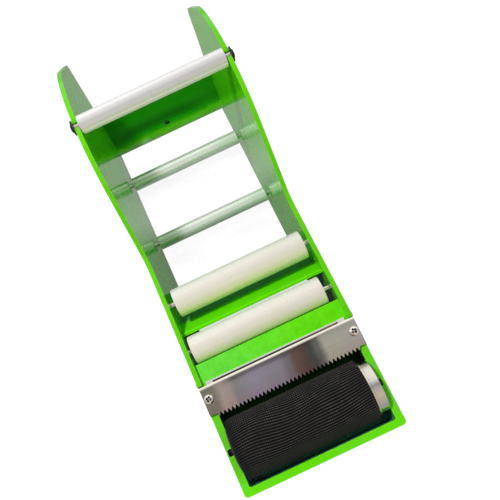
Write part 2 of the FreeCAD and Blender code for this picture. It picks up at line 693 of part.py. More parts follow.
def cross(sketch, across, up, reach):
    """Outline of a cross recess about a point, arm by arm."""
    near = ["- cross_width / 2", "+ cross_width / 2"]
    far = ["- " + reach, "+ " + reach]
    steps = [(near[0], far[0]), (near[1], far[0]), (near[1], near[0]), (far[1], near[0]),
             (far[1], near[1]), (near[1], near[1]), (near[1], far[1]), (near[0], far[1]),
             (near[0], near[1]), (far[0], near[1]), (far[0], near[0]), (near[0], near[0])]
    polygon(sketch, [(across + right, up + rise) for right, rise in steps])


def blade_screws():
    """The two screws that hold the cutter on the side plates."""
    body = frame_body("blade_screws", several=True)
    head = new_sketch(body, "head", TOP, "blade_top")
    circle(head, "blade_screw_half", "blade_screw_place", "blade_head_radius")
    top = pad(body, head, "blade_head_height")
    shank = new_sketch(body, "shank", TOP, "blade_top")
    circle(shank, "blade_screw_half", "blade_screw_place", "blade_screw_radius")
    stem = pad(body, shank, "blade_screw_length", backwards=True)
    recess = new_sketch(body, "recess", TOP, "blade_top + blade_head_height")
    cross(recess, "blade_screw_half", "blade_screw_place", "blade_cross_reach")
    cut = pocket(body, recess, "cross_depth")
    mirror(body, [top, stem, cut])


def frame_screws():
    """The screws that hold panel, deck and guards between the side plates."""
    body = frame_body("frame_screws", several=True)
    heads = new_sketch(body, "heads", SIDE, "outer_half")
    shanks = new_sketch(body, "shanks", SIDE, "outer_half")
    recesses = new_sketch(body, "recesses", SIDE, "outer_half + frame_head_height")
    for place, height in FRAME_SCREWS:
        circle(heads, place, height, "frame_head_radius")
        circle(shanks, place, height, "frame_screw_radius")
        cross(recesses, place, height, "frame_cross_reach")
    top = pad(body, heads, "frame_head_height")
    stem = pad(body, shanks, "frame_screw_length", backwards=True)
    cut = pocket(body, recesses, "cross_depth")
    mirror(body, [top, stem, cut])


# ---------------------------------------------------------------- rollers

def axle(label, place, height, half):
    """Plain axle across the machine."""
    body = new_body(label, ("0", place + " - frame_length / 2", height))
    section = new_sketch(body, "section", TOP)
    ring_section(section, "-(%s)" % half, half, "0", "axle_radius", "axle_edge")
    revolve(body, section)


def roller(name, across, place, height, radius, wall, half):
    """Tube with an end plug at each end that runs on an axle."""
    where = (across, place + " - frame_length / 2", height)
    tube = new_body(name + "_tube", where)
    section = new_sketch(tube, "section", TOP)
    ring_section(section, "-" + half, half, "%s - %s" % (radius, wall), radius, "tube_edge")
    revolve(tube, section)
    plugs = new_body(name + "_plugs", where, several=True)
    section = new_sketch(plugs, "section", TOP)
    ring_section(section, half + " - plug_recess - plug_length", half + " - plug_recess",
                 "plug_bore", "%s - %s - push_clearance" % (radius, wall))
    mirror(plugs, [revolve(plugs, section)])


def rollers():
    """Guide rollers, support rollers and the lift-out spindle."""
    for name, place, height in (("guide_axle_front",) + AXLES[0], ("guide_axle_rear",) + AXLES[1],
                                ("support_axle_front",) + AXLES[2], ("support_axle_rear",) + AXLES[3]):
        axle(name, place, height, "axle_half")
    for end in ("front", "rear"):
        roller("guide_" + end, end + "_guide_float", end + "_guide_place", "guide_height",
               "guide_radius", "guide_wall", "guide_half")
        roller("support_" + end, "0", end + "_support_place", "support_height",
               "support_radius", "support_wall", "support_half")
    axle("spindle_rod", "spindle_place", "spindle_height", "clip_outer + rod_proud")
    roller("spindle", "0", "spindle_place", "spindle_height",
           "spindle_radius", "spindle_wall", "spindle_half")


def spindle_clips():
    """Dished push-on clips that keep the spindle rod between the side plates."""
    clips = new_body("spindle_clips", ("0", "spindle_place - frame_length / 2", "spindle_height"),
                     several=True)
    section = new_sketch(clips, "section", TOP)
    polygon(section, [
        ("clip_inner", "socket_radius + clip_hub_rise"), ("clip_inner", "clip_radius"),
        ("clip_inner + clip_thickness", "clip_radius"),
        ("clip_inner + clip_thickness", "clip_hub_radius"),
        ("clip_outer", "clip_hub_radius - clip_hub_rise / 2"), ("clip_outer", "socket_radius"),
        ("clip_inner + clip_hub_rise", "socket_radius")])
    mirror(clips, [revolve(clips, section)])


def drum_piece(label):
    """A sub-part drawn about the axis of the wetting roller."""
    body = new_body(label, ("0", "drum_place - frame_length / 2", "drum_height"))
    return body, new_sketch(body, "section", TOP)


def wetting_roller():
    """Wetting roller: axle, core tube with two ends, sponge and knitted cover."""
    axle("wetting_axle", "drum_place", "drum_height", "drum_axle_half")

    body, section = drum_piece("wetting_core")
    ring_section(section, "-cap_inner_face", "cap_inner_face", "core_bore", "core_radius")
    revolve(body, section)

    body, section = drum_piece("wetting_plug")
    polygon(section, [
        ("-drum_half", "plug_bore"), ("-cap_inner_face + hub_length", "plug_bore"),
        ("-cap_inner_face + hub_length", "hub_radius"), ("-cap_inner_face", "hub_radius"),
        ("-cap_inner_face", "core_bore - push_clearance - cap_wall"),
        ("-cap_inner_face + spigot_length", "core_bore - push_clearance - cap_wall"),
        ("-cap_inner_face + spigot_length", "core_bore - push_clearance"),
        ("-cap_inner_face", "core_bore - push_clearance"), ("-cap_inner_face", "core_radius"),
        ("-drum_half", "core_radius")])
    revolve(body, section)

    body, section = drum_piece("wetting_cap")
    bead = "cap_radius + cap_bead_rise"
    polygon(section, [
        ("drum_half", "plug_bore"), ("drum_half", "cap_radius - tube_edge"),
        ("drum_half - tube_edge", "cap_radius"), ("cap_open_edge + cap_bead", "cap_radius"),
        ("cap_open_edge + cap_bead - cap_bead_slope", bead), ("cap_open_edge + cap_bead_slope", bead),
        ("cap_open_edge", "cap_radius"), ("cap_open_edge", "core_radius + push_clearance"),
        ("cap_inner_face", "core_radius + push_clearance"), ("cap_inner_face", "hub_radius"),
        ("cap_inner_face - hub_length", "hub_radius"), ("cap_inner_face - hub_length", "plug_bore")])
    revolve(body, section)

    body, section = drum_piece("sponge_sleeve")
    ring_section(section, "cover_left + cover_turn_in", "cover_right - cover_turn_in",
                 "core_radius + push_clearance", "sponge_radius")
    revolve(body, section)

    body, section = drum_piece("fabric_cover")
    ring_section(section, "cover_left", "cover_right", "sponge_radius + push_clearance",
                 "cover_radius", "tube_edge")
    revolve(body, section)


# ---------------------------------------------------------------- all together

def build():
    """Every sub-part in turn."""
    side_plate("left_side_plate", -1, "notch_skin_left")
    side_plate("right_side_plate", 1, "notch_skin_right")
    front_panel()
    water_tank()
    tape_deck()
    guards()
    throat_guide()
    cutter_blade()
    blade_screws()
    frame_screws()
    rollers()
    spindle_clips()
    wetting_roller()
    document.recompute()


def check():
    """Stop if an object has failed or a sub-part has no sound shape."""
    for item in document.Objects:
        if "Invalid" in item.State or "Error" in item.State:
            raise RuntimeError(item.Name + " has failed: " + str(item.State))
    for part in PARTS:
        if part.Shape.isNull() or not part.Shape.isValid():
            raise RuntimeError(part.Label + " has no sound shape")


def export():
    """One STEP file for each sub-part."""
    os.makedirs("parts", exist_ok=True)
    for part in PARTS:
        part.Shape.exportStep(os.path.join("parts", part.Label + ".step"))
        print("%-20s solids %2d  volume %9.1f" % (part.Label, len(part.Shape.Solids), part.Shape.Volume))


build()
check()
export()
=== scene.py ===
import json
import math
import random

import bmesh
import bpy
from bpy.props import FloatProperty, FloatVectorProperty, IntProperty, PointerProperty
from mathutils import Matrix, Vector


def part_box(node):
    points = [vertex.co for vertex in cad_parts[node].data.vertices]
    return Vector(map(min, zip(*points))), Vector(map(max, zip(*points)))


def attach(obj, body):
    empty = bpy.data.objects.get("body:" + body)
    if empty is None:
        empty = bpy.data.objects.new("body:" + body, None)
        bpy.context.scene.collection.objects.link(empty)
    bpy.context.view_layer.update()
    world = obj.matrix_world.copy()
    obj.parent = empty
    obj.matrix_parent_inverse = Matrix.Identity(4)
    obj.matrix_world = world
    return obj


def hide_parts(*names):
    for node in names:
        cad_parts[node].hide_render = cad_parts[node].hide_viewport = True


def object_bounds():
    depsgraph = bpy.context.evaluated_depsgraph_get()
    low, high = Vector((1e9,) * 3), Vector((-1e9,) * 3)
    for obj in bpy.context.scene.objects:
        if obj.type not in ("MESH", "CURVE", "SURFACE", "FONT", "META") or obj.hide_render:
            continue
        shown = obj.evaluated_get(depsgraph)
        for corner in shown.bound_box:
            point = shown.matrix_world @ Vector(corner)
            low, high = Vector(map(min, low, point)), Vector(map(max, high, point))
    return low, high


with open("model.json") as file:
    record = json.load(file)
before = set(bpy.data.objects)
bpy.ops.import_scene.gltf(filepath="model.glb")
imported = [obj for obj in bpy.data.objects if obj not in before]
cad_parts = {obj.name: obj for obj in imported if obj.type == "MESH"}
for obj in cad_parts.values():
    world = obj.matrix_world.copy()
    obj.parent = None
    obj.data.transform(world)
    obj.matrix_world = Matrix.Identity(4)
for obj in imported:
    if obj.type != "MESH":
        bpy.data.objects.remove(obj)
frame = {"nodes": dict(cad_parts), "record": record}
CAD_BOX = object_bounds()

bl_info = {
    "name": "Gummed tape dispenser",
    "version": (1, 0, 0),
    "blender": (4, 5, 0),
    "location": "View3D > Sidebar > Dispenser",
    "description": "Dresses the tape dispenser: green shell, cutter, rollers and wetting roller",
    "category": "Object",
}

MM = 0.001
ACROSS = Vector((1, 0, 0))
BACK = Vector((0, 1, 0))
UP = Vector((0, 0, 1))
WELD = 0.002 * MM       # corners of a solid closer than this are one
SEAM = 0.0005 * MM      # and those of a turned outline
CUT_SLACK = 0.001 * MM  # corners closer than this to a cutting plane lie on it
PRESS_FIT = 0.04 * MM   # gap round a pressed-in piece
RUNNING_BORE = 2.06 * MM


# ---------------------------------------------------------------- settings

def size(label, about, default, **limits):
    """A length with its limits, given in millimetres."""
    metres = {key: limit * MM for key, limit in limits.items()}
    return FloatProperty(name=label, description=about, default=default * MM, unit="LENGTH",
                         **metres)


def angle(label, about, default, **limits):
    """An angle with its limits, given in degrees."""
    radians = {key: math.radians(limit) for key, limit in limits.items()}
    return FloatProperty(name=label, description=about, default=math.radians(default),
                         subtype="ANGLE", **radians)


def colour(label, about, default):
    """A colour for the shader."""
    return FloatVectorProperty(name=label, description=about, subtype="COLOR", default=default,
                               min=0.0, max=1.0)


def share(label, about, default):
    """A part of the whole, from 0 to 1."""
    return FloatProperty(name=label, description=about, subtype="FACTOR", default=default,
                         min=0.0, max=1.0)


class DispenserSizes(bpy.types.PropertyGroup):
    """Small shapes that the solids leave plain."""

    plate_edge: size("Side plate edge", "Rounding along the outline of the side plates", 0.8, min=0)
    shell_edge: size("Shell edge", "Rounding on the edges of the other green pieces", 0.45, min=0)
    sheet_edge: size("Sheet edge", "Rounding on the edges of the sheet metal", 0.14, min=0)
    tube_edge: size("Tube edge", "Rounding at the ends of the roller tubes", 0.7, min=0)
    rib_pitch: size("Rib pitch", "Rib to rib on the knitted cover", 1.75, min=0.5)
    rib_depth: size("Rib depth", "Groove between the ribs of the knitted cover", 0.75, min=0)
    rib_drift: size("Rib drift", "How far the ribs wander round the roller", 1.9, min=0)
    stitch_pitch: size("Stitch pitch", "Stitch to stitch along a rib of the cover", 1.45, min=0.3)
    guard_curl: angle("Guard curl", "How far the foot of the rear guard turns forward", 38, min=1,
                      max=70)
    guard_curl_start: size("Guard curl start", "Height up the rear guard where the curl begins",
                           9.0, min=1.0)
    facets: IntProperty(name="Facets", description="Facets around a turned piece", default=96,
                        min=16, max=256)


class DispenserFinish(bpy.types.PropertyGroup):
    """Colours and surface of the materials."""

    green: colour("Green plastic", "Colour of the shell", (0.140, 0.80, 0.003))
    # A darker copy of the shell's green, used as painted shade on the rear guard.
    deep_green: colour("Deep green plastic", "Colour of the rear guard", (0.020, 0.50, 0.002))
    # Inside the tank: mostly painted shade, over its wet film.
    tank_inside: colour("Tank inside", "Wet glue and grime inside the water tank",
                        (0.0015, 0.006, 0.0045))
    ivory: colour("Roller plastic", "Colour of the guide rollers", (0.78, 0.755, 0.68))
    cool_white: colour("Spindle plastic", "Colour of the spindle roller", (0.53, 0.52, 0.51))
    stainless: colour("Stainless steel", "Colour of the cutter", (0.74, 0.74, 0.70))
    knit: colour("Knitted cover", "Colour of the yarn", (0.021, 0.020, 0.020))
    # The share is high so that the pale rubbed edges of the green shell also stand for painted
    # highlights along the edges.
    wear: share("Edge wear", "Share of the edges that is rubbed", 0.6)
    dust: share("Dust", "Dust on faces that look up", 0.06)


class DispenserStage(bpy.types.PropertyGroup):
    """Floor, lamp and camera."""

    key_power: FloatProperty(
        name="Key lamp", description="Power of the lamp behind the tape roll, high up on the left",
        subtype="POWER", default=4.2, min=0.0)
    ambient: FloatProperty(
        name="Ambient", description="Light from all round", default=0.36, min=0.0)
    floor_mirrored: share("Floor in reflections",
                          "Brightness of the open floor in glossy surfaces", 0.52)
    camera_height: size("Camera height", "Camera above the floor", 506)
    camera_foot: size("Camera place", "Camera behind the front face of the machine", 30.2)
    camera_tilt: angle("Camera tilt", "Camera from straight down, towards the rear", 16.1)
    camera_turn: angle("Camera turn", "Turn of the picture about the line of sight", 25.2)


# ---------------------------------------------------------------- shader nodes

def fill(tree, inputs, values):
    """Fill inputs, by name or by place, with numbers, colours or links."""
    for key, value in values.items():
        if isinstance(value, bpy.types.NodeSocket):
            tree.links.new(value, inputs[key])
        else:
            inputs[key].default_value = value


def spaced(values):
    """Values given as keywords, with spaces in their names in place of underscores."""
    return {key.replace("_", " "): value for key, value in values.items()}


def shade(tone, factor):
    """A colour made darker or lighter."""
    return tuple(min(1.0, part * factor) for part in tone[:3])


class Nodes:
    """A node tree, with short words for what is put into it."""

    def __init__(self, tree):
        self.tree = tree

    def put(self, kind, values=None, **settings):
        """A node with its settings and its filled inputs."""
        node = self.tree.nodes.new("ShaderNode" + kind)
        for name, value in settings.items():
            setattr(node, name, value)
        fill(self.tree, node.inputs, values or {})
        return node

    def calc(self, operation, first, second=0.0):
        return self.put("Math", {0: first, 1: second}, operation=operation).outputs[0]

    def plus(self, first, second):
        return self.calc("ADD", first, second)

    def minus(self, first, second):
        return self.calc("SUBTRACT", first, second)

    def times(self, first, second):
        return self.calc("MULTIPLY", first, second)

    def unsigned(self, value):
        return self.calc("ABSOLUTE", value)

    def vector(self, operation, *values):
        """A sum with vectors; a length and a dot product come out as a value."""
        node = self.put("VectorMath", dict(enumerate(values)), operation=operation)
        return node.outputs["Value" if operation in ("DOT_PRODUCT", "LENGTH") else "Vector"]

    def ramp(self, value, low, high, to_low=0.0, to_high=1.0):
        """A value stretched from one range to another and kept inside it."""
        return self.put("MapRange", {
            "Value": value, "From Min": low, "From Max": high, "To Min": to_low,
            "To Max": to_high}, interpolation_type="SMOOTHSTEP").outputs["Result"]

    def mix(self, factor, first, second, blend="MIX"):
        """A colour between two colours or links."""
        both = {}
        for place, tone in ((6, first), (7, second)):
            linked = isinstance(tone, bpy.types.NodeSocket)
            both[place] = tone if linked else tuple(tone[:3]) + (1.0,)
        return self.put("Mix", {0: factor, **both}, data_type="RGBA", blend_type=blend).outputs[2]

    def bands(self, value, stops):
        """A colour read from a row of stops (place, colour), the places from 0 to 1."""
        node = self.put("ValToRGB", {"Fac": value})
        row = node.color_ramp
        row.interpolation = "EASE"
        for index, (place, tone) in enumerate(stops):
            stop = row.elements[index] if index < 2 else row.elements.new(place)
            stop.position = place
            stop.color = tuple(tone) + (1.0,)
        return node.outputs["Color"]

    def place(self, kind="Object"):
        """Where a point lies, on the piece or on its map."""
        return self.put("TexCoord").outputs[kind]

    def parts(self, vector=None):
        """X, Y and Z of a vector, or else of the place on the piece."""
        return self.put("SeparateXYZ", {0: vector or self.place()}).outputs

    def normal(self):
        return self.put("NewGeometry").outputs["Normal"]

    def noise(self, scale, detail=3.0, roughness=0.5, stretch=(1.0, 1.0, 1.0)):
        """Noise fixed to the piece; a stretch below one draws it out along that axis."""
        mapping = self.put("Mapping", {"Vector": self.place(), "Scale": stretch})
        return self.put("TexNoise", {"Vector": mapping.outputs[0], "Scale": scale,
                                     "Detail": detail, "Roughness": roughness}).outputs["Fac"]

    def patches(self, pattern, low, high, to_low=0.0, to_high=1.0):
        """Patches of a noise (scale, detail, roughness) between two of its levels."""
        return self.ramp(self.noise(*pattern), low, high, to_low, to_high)

    def waver(self, scale, reach, middle=0.0):
        """A soft unevenness of some reach about its middle level."""
        return self.times(self.minus(self.noise(scale, 3.0, 0.6), middle), reach)

    def bump(self, height, strength, distance):
        """A normal from a height in metres."""
        return self.put("Bump", {"Height": height, "Strength": strength,
                                 "Distance": distance}).outputs["Normal"]

    def effect(self, name, **values):
        """A shared effect placed in this tree with values of its own."""
        node = self.put("Group", node_tree=shared_effect(name))
        fill(self.tree, node.inputs, spaced(values))
        return node.outputs


# ---------------------------------------------------------------- shared effects

def edge_wear(nodes, radius, amount):
    """Mask of the rubbed edges: where the rounded normal leaves the true one, broken up."""
    soft = nodes.put("Bevel", {"Radius": radius}, samples=6).outputs[0]
    edge = nodes.ramp(nodes.vector("DOT_PRODUCT", soft, nodes.normal()), 0.998, 0.93)
    broken = nodes.times(edge, nodes.patches((260.0, 4.0, 0.65), 0.44, 0.66))
    return {"Mask": nodes.times(broken, amount)}


def dust(nodes, amount):
    """Mask of dust specks and film on faces that look up."""
    film = nodes.patches((55.0, 5.0, 0.6), 0.42, 0.75)
    specks = nodes.patches((2600.0, 2.0, 0.7), 0.68, 0.76)
    both = nodes.calc("MAXIMUM", nodes.times(film, 0.35), specks)
    level = nodes.ramp(nodes.parts(nodes.normal())["Z"], 0.25, 0.95)
    return {"Mask": nodes.times(nodes.times(both, level), amount)}


def fine_scratches(nodes, scale, amount):
    """Mask of fine straight scratches in two directions."""
    found = []
    for turned, seed in ((0.35, 3.1), (-0.9, 8.7)):
        mapping = nodes.put("Mapping", {
            "Vector": nodes.place(), "Rotation": (0.3 * turned, 0.2, turned),
            "Location": (seed, seed, seed), "Scale": (1.0, 14.0, 14.0)}).outputs[0]
        cells = nodes.put("TexVoronoi", {"Vector": mapping, "Scale": scale},
                          feature="DISTANCE_TO_EDGE").outputs["Distance"]
        gate = nodes.patches((48.0 + seed, 2.0, 0.5), 0.52, 0.66)
        found.append(nodes.times(nodes.ramp(cells, 0.012, 0.0), gate))
    return {"Mask": nodes.times(nodes.calc("MAXIMUM", *found), amount)}


def moulded_surface(nodes, peel, waves):
    """Moulded plastic: cloudy flow marks and the fine peel of the tool."""
    tone = nodes.plus(nodes.times(nodes.noise(17.0, 4.0, 0.55), 0.6),
                      nodes.times(nodes.noise(34.0, 3.0, 0.5, (0.25, 1.0, 1.0)), 0.4))
    height = nodes.plus(nodes.times(nodes.noise(900.0, 2.0, 0.5), peel),
                        nodes.times(nodes.noise(60.0, 1.0, 0.4), waves))
    return {"Tone": nodes.ramp(tone, 0.32, 0.68), "Height": height}


def drawn_metal(nodes):
    """Metal drawn or ground along the X axis: streaks and stain patches."""
    coarse = nodes.noise(700.0, 4.0, 0.7, (0.012, 1.0, 1.0))
    fine = nodes.noise(2600.0, 3.0, 0.8, (0.008, 1.0, 1.0))
    streaks = nodes.plus(nodes.times(coarse, 0.5), nodes.times(fine, 0.5))
    return {"Streaks": nodes.ramp(streaks, 0.3, 0.7),
            "Stains": nodes.patches((38.0, 3.0, 0.55), 0.35, 0.7)}


def rib_knit(nodes):
    """Rib knit from a map that counts stitches along and ribs around: loops, crests, fuzz."""
    parts = nodes.parts(nodes.place("UV"))
    turns = nodes.times(parts["Y"], 2.0 * math.pi)
    across = nodes.calc("COSINE", turns)
    crest = nodes.ramp(across, -0.1, 0.95)
    slant = nodes.times(nodes.unsigned(nodes.calc("SINE", turns)), 1.5)
    rows = nodes.times(parts["X"], 2.0 * math.pi)
    stitch = nodes.calc("SINE", nodes.plus(rows, slant))
    return {"Crest": crest,
            "Loops": nodes.times(nodes.ramp(stitch, -0.7, 0.8), crest),
            "Dots": nodes.times(nodes.ramp(stitch, 0.55, 0.95), nodes.ramp(across, 0.6, 0.98)),
            "Fuzz": nodes.patches((3800.0, 4.0, 0.8), 0.45, 0.8)}


def tank_grime_and_shade(nodes, middle, half_size, waterline):
    """Mask of the dark film inside a box, below a waterline that wavers: mostly painted shade, over
    the tank's wet film.
    """
    away = nodes.vector("SUBTRACT", nodes.place(), middle)
    spread = nodes.parts(nodes.vector("ABSOLUTE", away))
    reach = nodes.parts(half_size)
    inside = nodes.times(nodes.calc("LESS_THAN", spread["X"], reach["X"]),
                         nodes.calc("LESS_THAN", spread["Y"], reach["Y"]))
    height = nodes.plus(nodes.parts()["Z"], nodes.waver(90.0, 2.0 * MM))
    film = nodes.ramp(nodes.minus(waterline, height), -1.0 * MM, 2.0 * MM)
    return {"Mask": nodes.times(inside, film)}


def painted_reflection_row(nodes, half_length):
    """Painted reflections on bright sheet: soft coloured patches in a row along it, their borders
    pushed about.
    """
    along = nodes.plus(nodes.parts()["X"], nodes.waver(55.0, 9.0 * MM, 0.5))
    part = nodes.calc("DIVIDE", nodes.plus(along, half_length), nodes.times(half_length, 2.0))
    return {"Stain": nodes.bands(part, (
        (0.00, (0.43, 0.41, 0.35)), (0.06, (0.43, 0.39, 0.33)), (0.12, (0.76, 0.65, 0.60)),
        (0.17, (0.70, 0.58, 0.54)), (0.20, (0.48, 0.45, 0.48)), (0.32, (0.54, 0.49, 0.63)),
        (0.48, (0.48, 0.44, 0.53)), (0.55, (0.34, 0.30, 0.34)), (0.59, (0.25, 0.17, 0.15)),
        (0.65, (0.19, 0.13, 0.11)), (0.69, (0.13, 0.14, 0.13)), (0.74, (0.26, 0.27, 0.25)),
        (0.78, (0.78, 0.78, 0.66)), (1.00, (0.76, 0.73, 0.70))))}


# name: how it is made, and its inputs with their usual values
EFFECTS = {
    "Edge wear": (edge_wear, {"Radius": 0.6 * MM, "Amount": 0.3}),
    "Dust": (dust, {"Amount": 0.1}),
    "Fine scratches": (fine_scratches, {"Scale": 60.0, "Amount": 0.5}),
    "Moulded surface": (moulded_surface, {"Peel": 0.2, "Waves": 1.0}),
    "Drawn metal": (drawn_metal, {}),
    "Rib knit": (rib_knit, {}),
    "Tank grime": (tank_grime_and_shade, {"Middle": (0.0, 0.0, 0.0), "Half size": (0.05, 0.03, 0.03),
                                "Waterline": 100.0 * MM}),
    "Tarnish": (painted_reflection_row, {"Half length": 55.0 * MM}),
}


def shared_effect(name):
    """The node group of a shared effect with its named sockets, made once."""
    tree = bpy.data.node_groups.get(name)
    if tree:
        return tree
    tree = bpy.data.node_groups.new(name, "ShaderNodeTree")
    make, inputs = EFFECTS[name]
    for label, value in inputs.items():
        kind = "NodeSocketVector" if isinstance(value, tuple) else "NodeSocketFloat"
        socket = tree.interface.new_socket(label, in_out="INPUT", socket_type=kind)
        socket.default_value = value
    given = tree.nodes.new("NodeGroupInput").outputs
    found = make(Nodes(tree), *[given[label] for label in inputs])
    for label, value in found.items():
        kind = "NodeSocketColor" if value.type == "RGBA" else "NodeSocketFloat"
        tree.interface.new_socket(label, in_out="OUTPUT", socket_type=kind)
    fill(tree, tree.nodes.new("NodeGroupOutput").inputs, found)
    return tree


# ---------------------------------------------------------------- materials

class Skin(Nodes):
    """A material with its shader, and its colour and roughness as far as they are built."""

    def __init__(self, name):
        self.made = bpy.data.materials.new(name)
        self.made.use_nodes = True
        super().__init__(self.made.node_tree)
        self.tree.nodes.clear()
        self.shader = self.put("BsdfPrincipled")
        self.put("OutputMaterial", {"Surface": self.shader.outputs[0]})
        self.finish = bpy.context.scene.dispenser_finish
        self.base = None
        self.rough = None

    def set(self, **values):
        """Fill inputs of the shader; underscores in the names stand for spaces."""
        fill(self.tree, self.shader.inputs, spaced(values))

    def stain(self, mask, tone, strength=1.0):
        """Turn the colour towards another under a mask."""
        if strength != 1.0:
            mask = self.times(mask, strength)
        self.base = self.mix(mask, self.base, tone)

    def tint(self, mask, tone):
        """Multiply the colour by another under a mask."""
        self.base = self.mix(mask, self.base, tone, "MULTIPLY")

    def scuff(self, mask, amount):
        """Make the surface rougher under a mask."""
        self.rough = self.plus(self.rough, self.times(mask, amount))

    def wear(self, radius, amount):
        return self.effect("Edge wear", Radius=radius, Amount=amount)["Mask"]

    def scratches(self, scale, amount):
        return self.effect("Fine scratches", Scale=scale, Amount=amount)["Mask"]

    def dust(self):
        return self.effect("Dust", Amount=self.finish.dust)["Mask"]


def moulded_plastic(skin, tone, roughness, rubbed):
    """Glossy moulded plastic with flow marks, rubbed edges, hairline scratches and dust."""
    surface = skin.effect("Moulded surface", Peel=0.25, Waves=0.5)
    wear = skin.wear(0.7 * MM, skin.finish.wear)
    lines = skin.scratches(70.0, 0.35)
    film = skin.dust()
    skin.base = skin.mix(surface["Tone"], shade(tone, 0.93), shade(tone, 1.05))
    skin.stain(wear, rubbed)
    skin.stain(lines, shade(rubbed, 0.9), 0.10)
    skin.stain(film, (0.55, 0.56, 0.52))
    skin.rough = skin.patches((42.0, 4.0, 0.6), 0.3, 0.7, roughness * 0.85, roughness * 1.25)
    skin.scuff(lines, 0.06)
    skin.scuff(film, 0.35)
    skin.scuff(wear, 0.2)
    depth = skin.minus(surface["Height"], skin.times(lines, 0.3))
    skin.set(IOR=1.48, Normal=skin.bump(depth, 0.25, 0.03 * MM))


def green_plastic(skin, gloss=0.5, shaded=False):
    """The green shell: its gloss is tinted head-on and clear at a low angle."""
    # shaded: the darker copy of the green, as painted shade.
    tone = skin.finish.deep_green if shaded else skin.finish.green
    # On the green shell the pale rubbed edges are partly real wear and partly painted highlights.
    moulded_plastic(skin, tone, 0.13, (0.45, 0.84, 0.16))
    skin.set(Specular_Tint=(0.35, 1.0, 0.12, 1.0), Specular_IOR_Level=gloss)


def plate_plastic(skin):
    """The side plates: their cut edges painted a little darker than their faces, as painted shade
    where they catch the most light.
    """
    green_plastic(skin)
    sideways = skin.unsigned(skin.parts(skin.normal())["X"])
    # Painted shade on the cut edges of the side plates.
    skin.tint(skin.ramp(sideways, 0.85, 0.45), (0.86, 0.76, 0.85))


def deck_plastic(skin):
    """The green shell under the tape: a milky veil and bright glints at the left, both painted
    reflection, over a mottled tone.
    """
    green_plastic(skin)
    along = skin.parts()["X"]
    # Painted reflection: a milky veil over the left of the deck.
    film = skin.ramp(skin.plus(along, skin.waver(60.0, 30.0 * MM, 0.5)), 30.0 * MM,
                     -50.0 * MM)
    # Painted glints: bright specks on the left of the deck.
    specks = skin.times(skin.patches((420.0, 4.0, 0.75), 0.62, 0.70),
                        skin.ramp(along, 5.0 * MM, -35.0 * MM))
    mottle = skin.patches((150.0, 5.0, 0.65), 0.32, 0.68)
    skin.stain(film, (0.145, 0.76, 0.048))
    skin.tint(1.0, skin.mix(mottle, (0.80, 0.88, 0.80), (1.06, 1.02, 1.2)))
    skin.stain(specks, (0.55, 0.90, 0.50), 0.6)


def front_guard_plastic(skin):
    """The front guard: clean where the tape passes, with painted shade, dark and bluish, down its
    slope under the rear roller.
    """
    green_plastic(skin, 0.0)
    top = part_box("roll_guard_front")[1].z
    height = skin.plus(skin.parts()["Z"], skin.waver(70.0, 2.0 * MM))
    # Painted shade: the slope under the rear roller darkened in colour.
    skin.stain(skin.ramp(height, top - 11.0 * MM, top - 17.0 * MM), (0.085, 0.22, 0.13), 0.85)


def rear_guard_plastic(skin):
    """The rear guard: painted light and shade by height, light at its foot with a dark band above,
    and painted shade in the hole.
    """
    green_plastic(skin, 0.2, shaded=True)
    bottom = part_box("roll_guard_rear")[0].z
    shown_height = 50.0 * MM
    parts = skin.parts()
    rise = skin.minus(skin.plus(parts["Z"], skin.waver(40.0, 5.0 * MM, 0.5)), bottom)
    part = skin.calc("DIVIDE", rise, shown_height)
    # Painted light and shade: colour factors by height, far lighter at the foot, a dark band above.
    levels = skin.bands(part, (
        (0.00, (4.0, 0.75, 15.0)), (0.07, (6.5, 0.82, 18.0)), (0.14, (5.2, 1.24, 2.2)),
        (0.24, (0.4, 0.86, 0.8)), (0.32, (0.1, 0.48, 0.5)), (0.40, (0.1, 0.36, 0.4)),
        (0.48, (0.3, 0.52, 0.8)), (0.58, (0.8, 0.68, 1.2)), (1.00, (0.5, 0.60, 1.0))))
    above = skin.ramp(part, 0.16, 0.30)
    # Painted light: the band made lighter towards the right and towards the left.
    for start, end, strength, tone in ((15.0, 45.0, 0.6, (0.8, 0.60, 1.0)),
                                       (-34.0, -46.0, 0.8, (0.5, 0.50, 0.7))):
        beside = skin.times(above, skin.ramp(parts["X"], start * MM, end * MM))
        levels = skin.mix(skin.times(beside, strength), levels, tone)
    # Painted light: the left of the foot made lighter.
    foot = skin.times(skin.ramp(part, 0.17, 0.09),
                      skin.ramp(parts["X"], -18.0 * MM, -30.0 * MM))
    skin.tint(1.0, skin.mix(foot, levels, (3.4, 1.6, 7.0), "MULTIPLY"))
    through, middle = guard_directions()[1:]
    away = skin.vector("SUBTRACT", skin.place(), middle)
    reach = skin.vector("LENGTH", skin.vector("CROSS_PRODUCT", away, through))
    # Painted shade: the bore of the fixing hole made dark.
    skin.stain(skin.ramp(reach, 2.5 * MM, 2.1 * MM), (0.020, 0.012, 0.006))


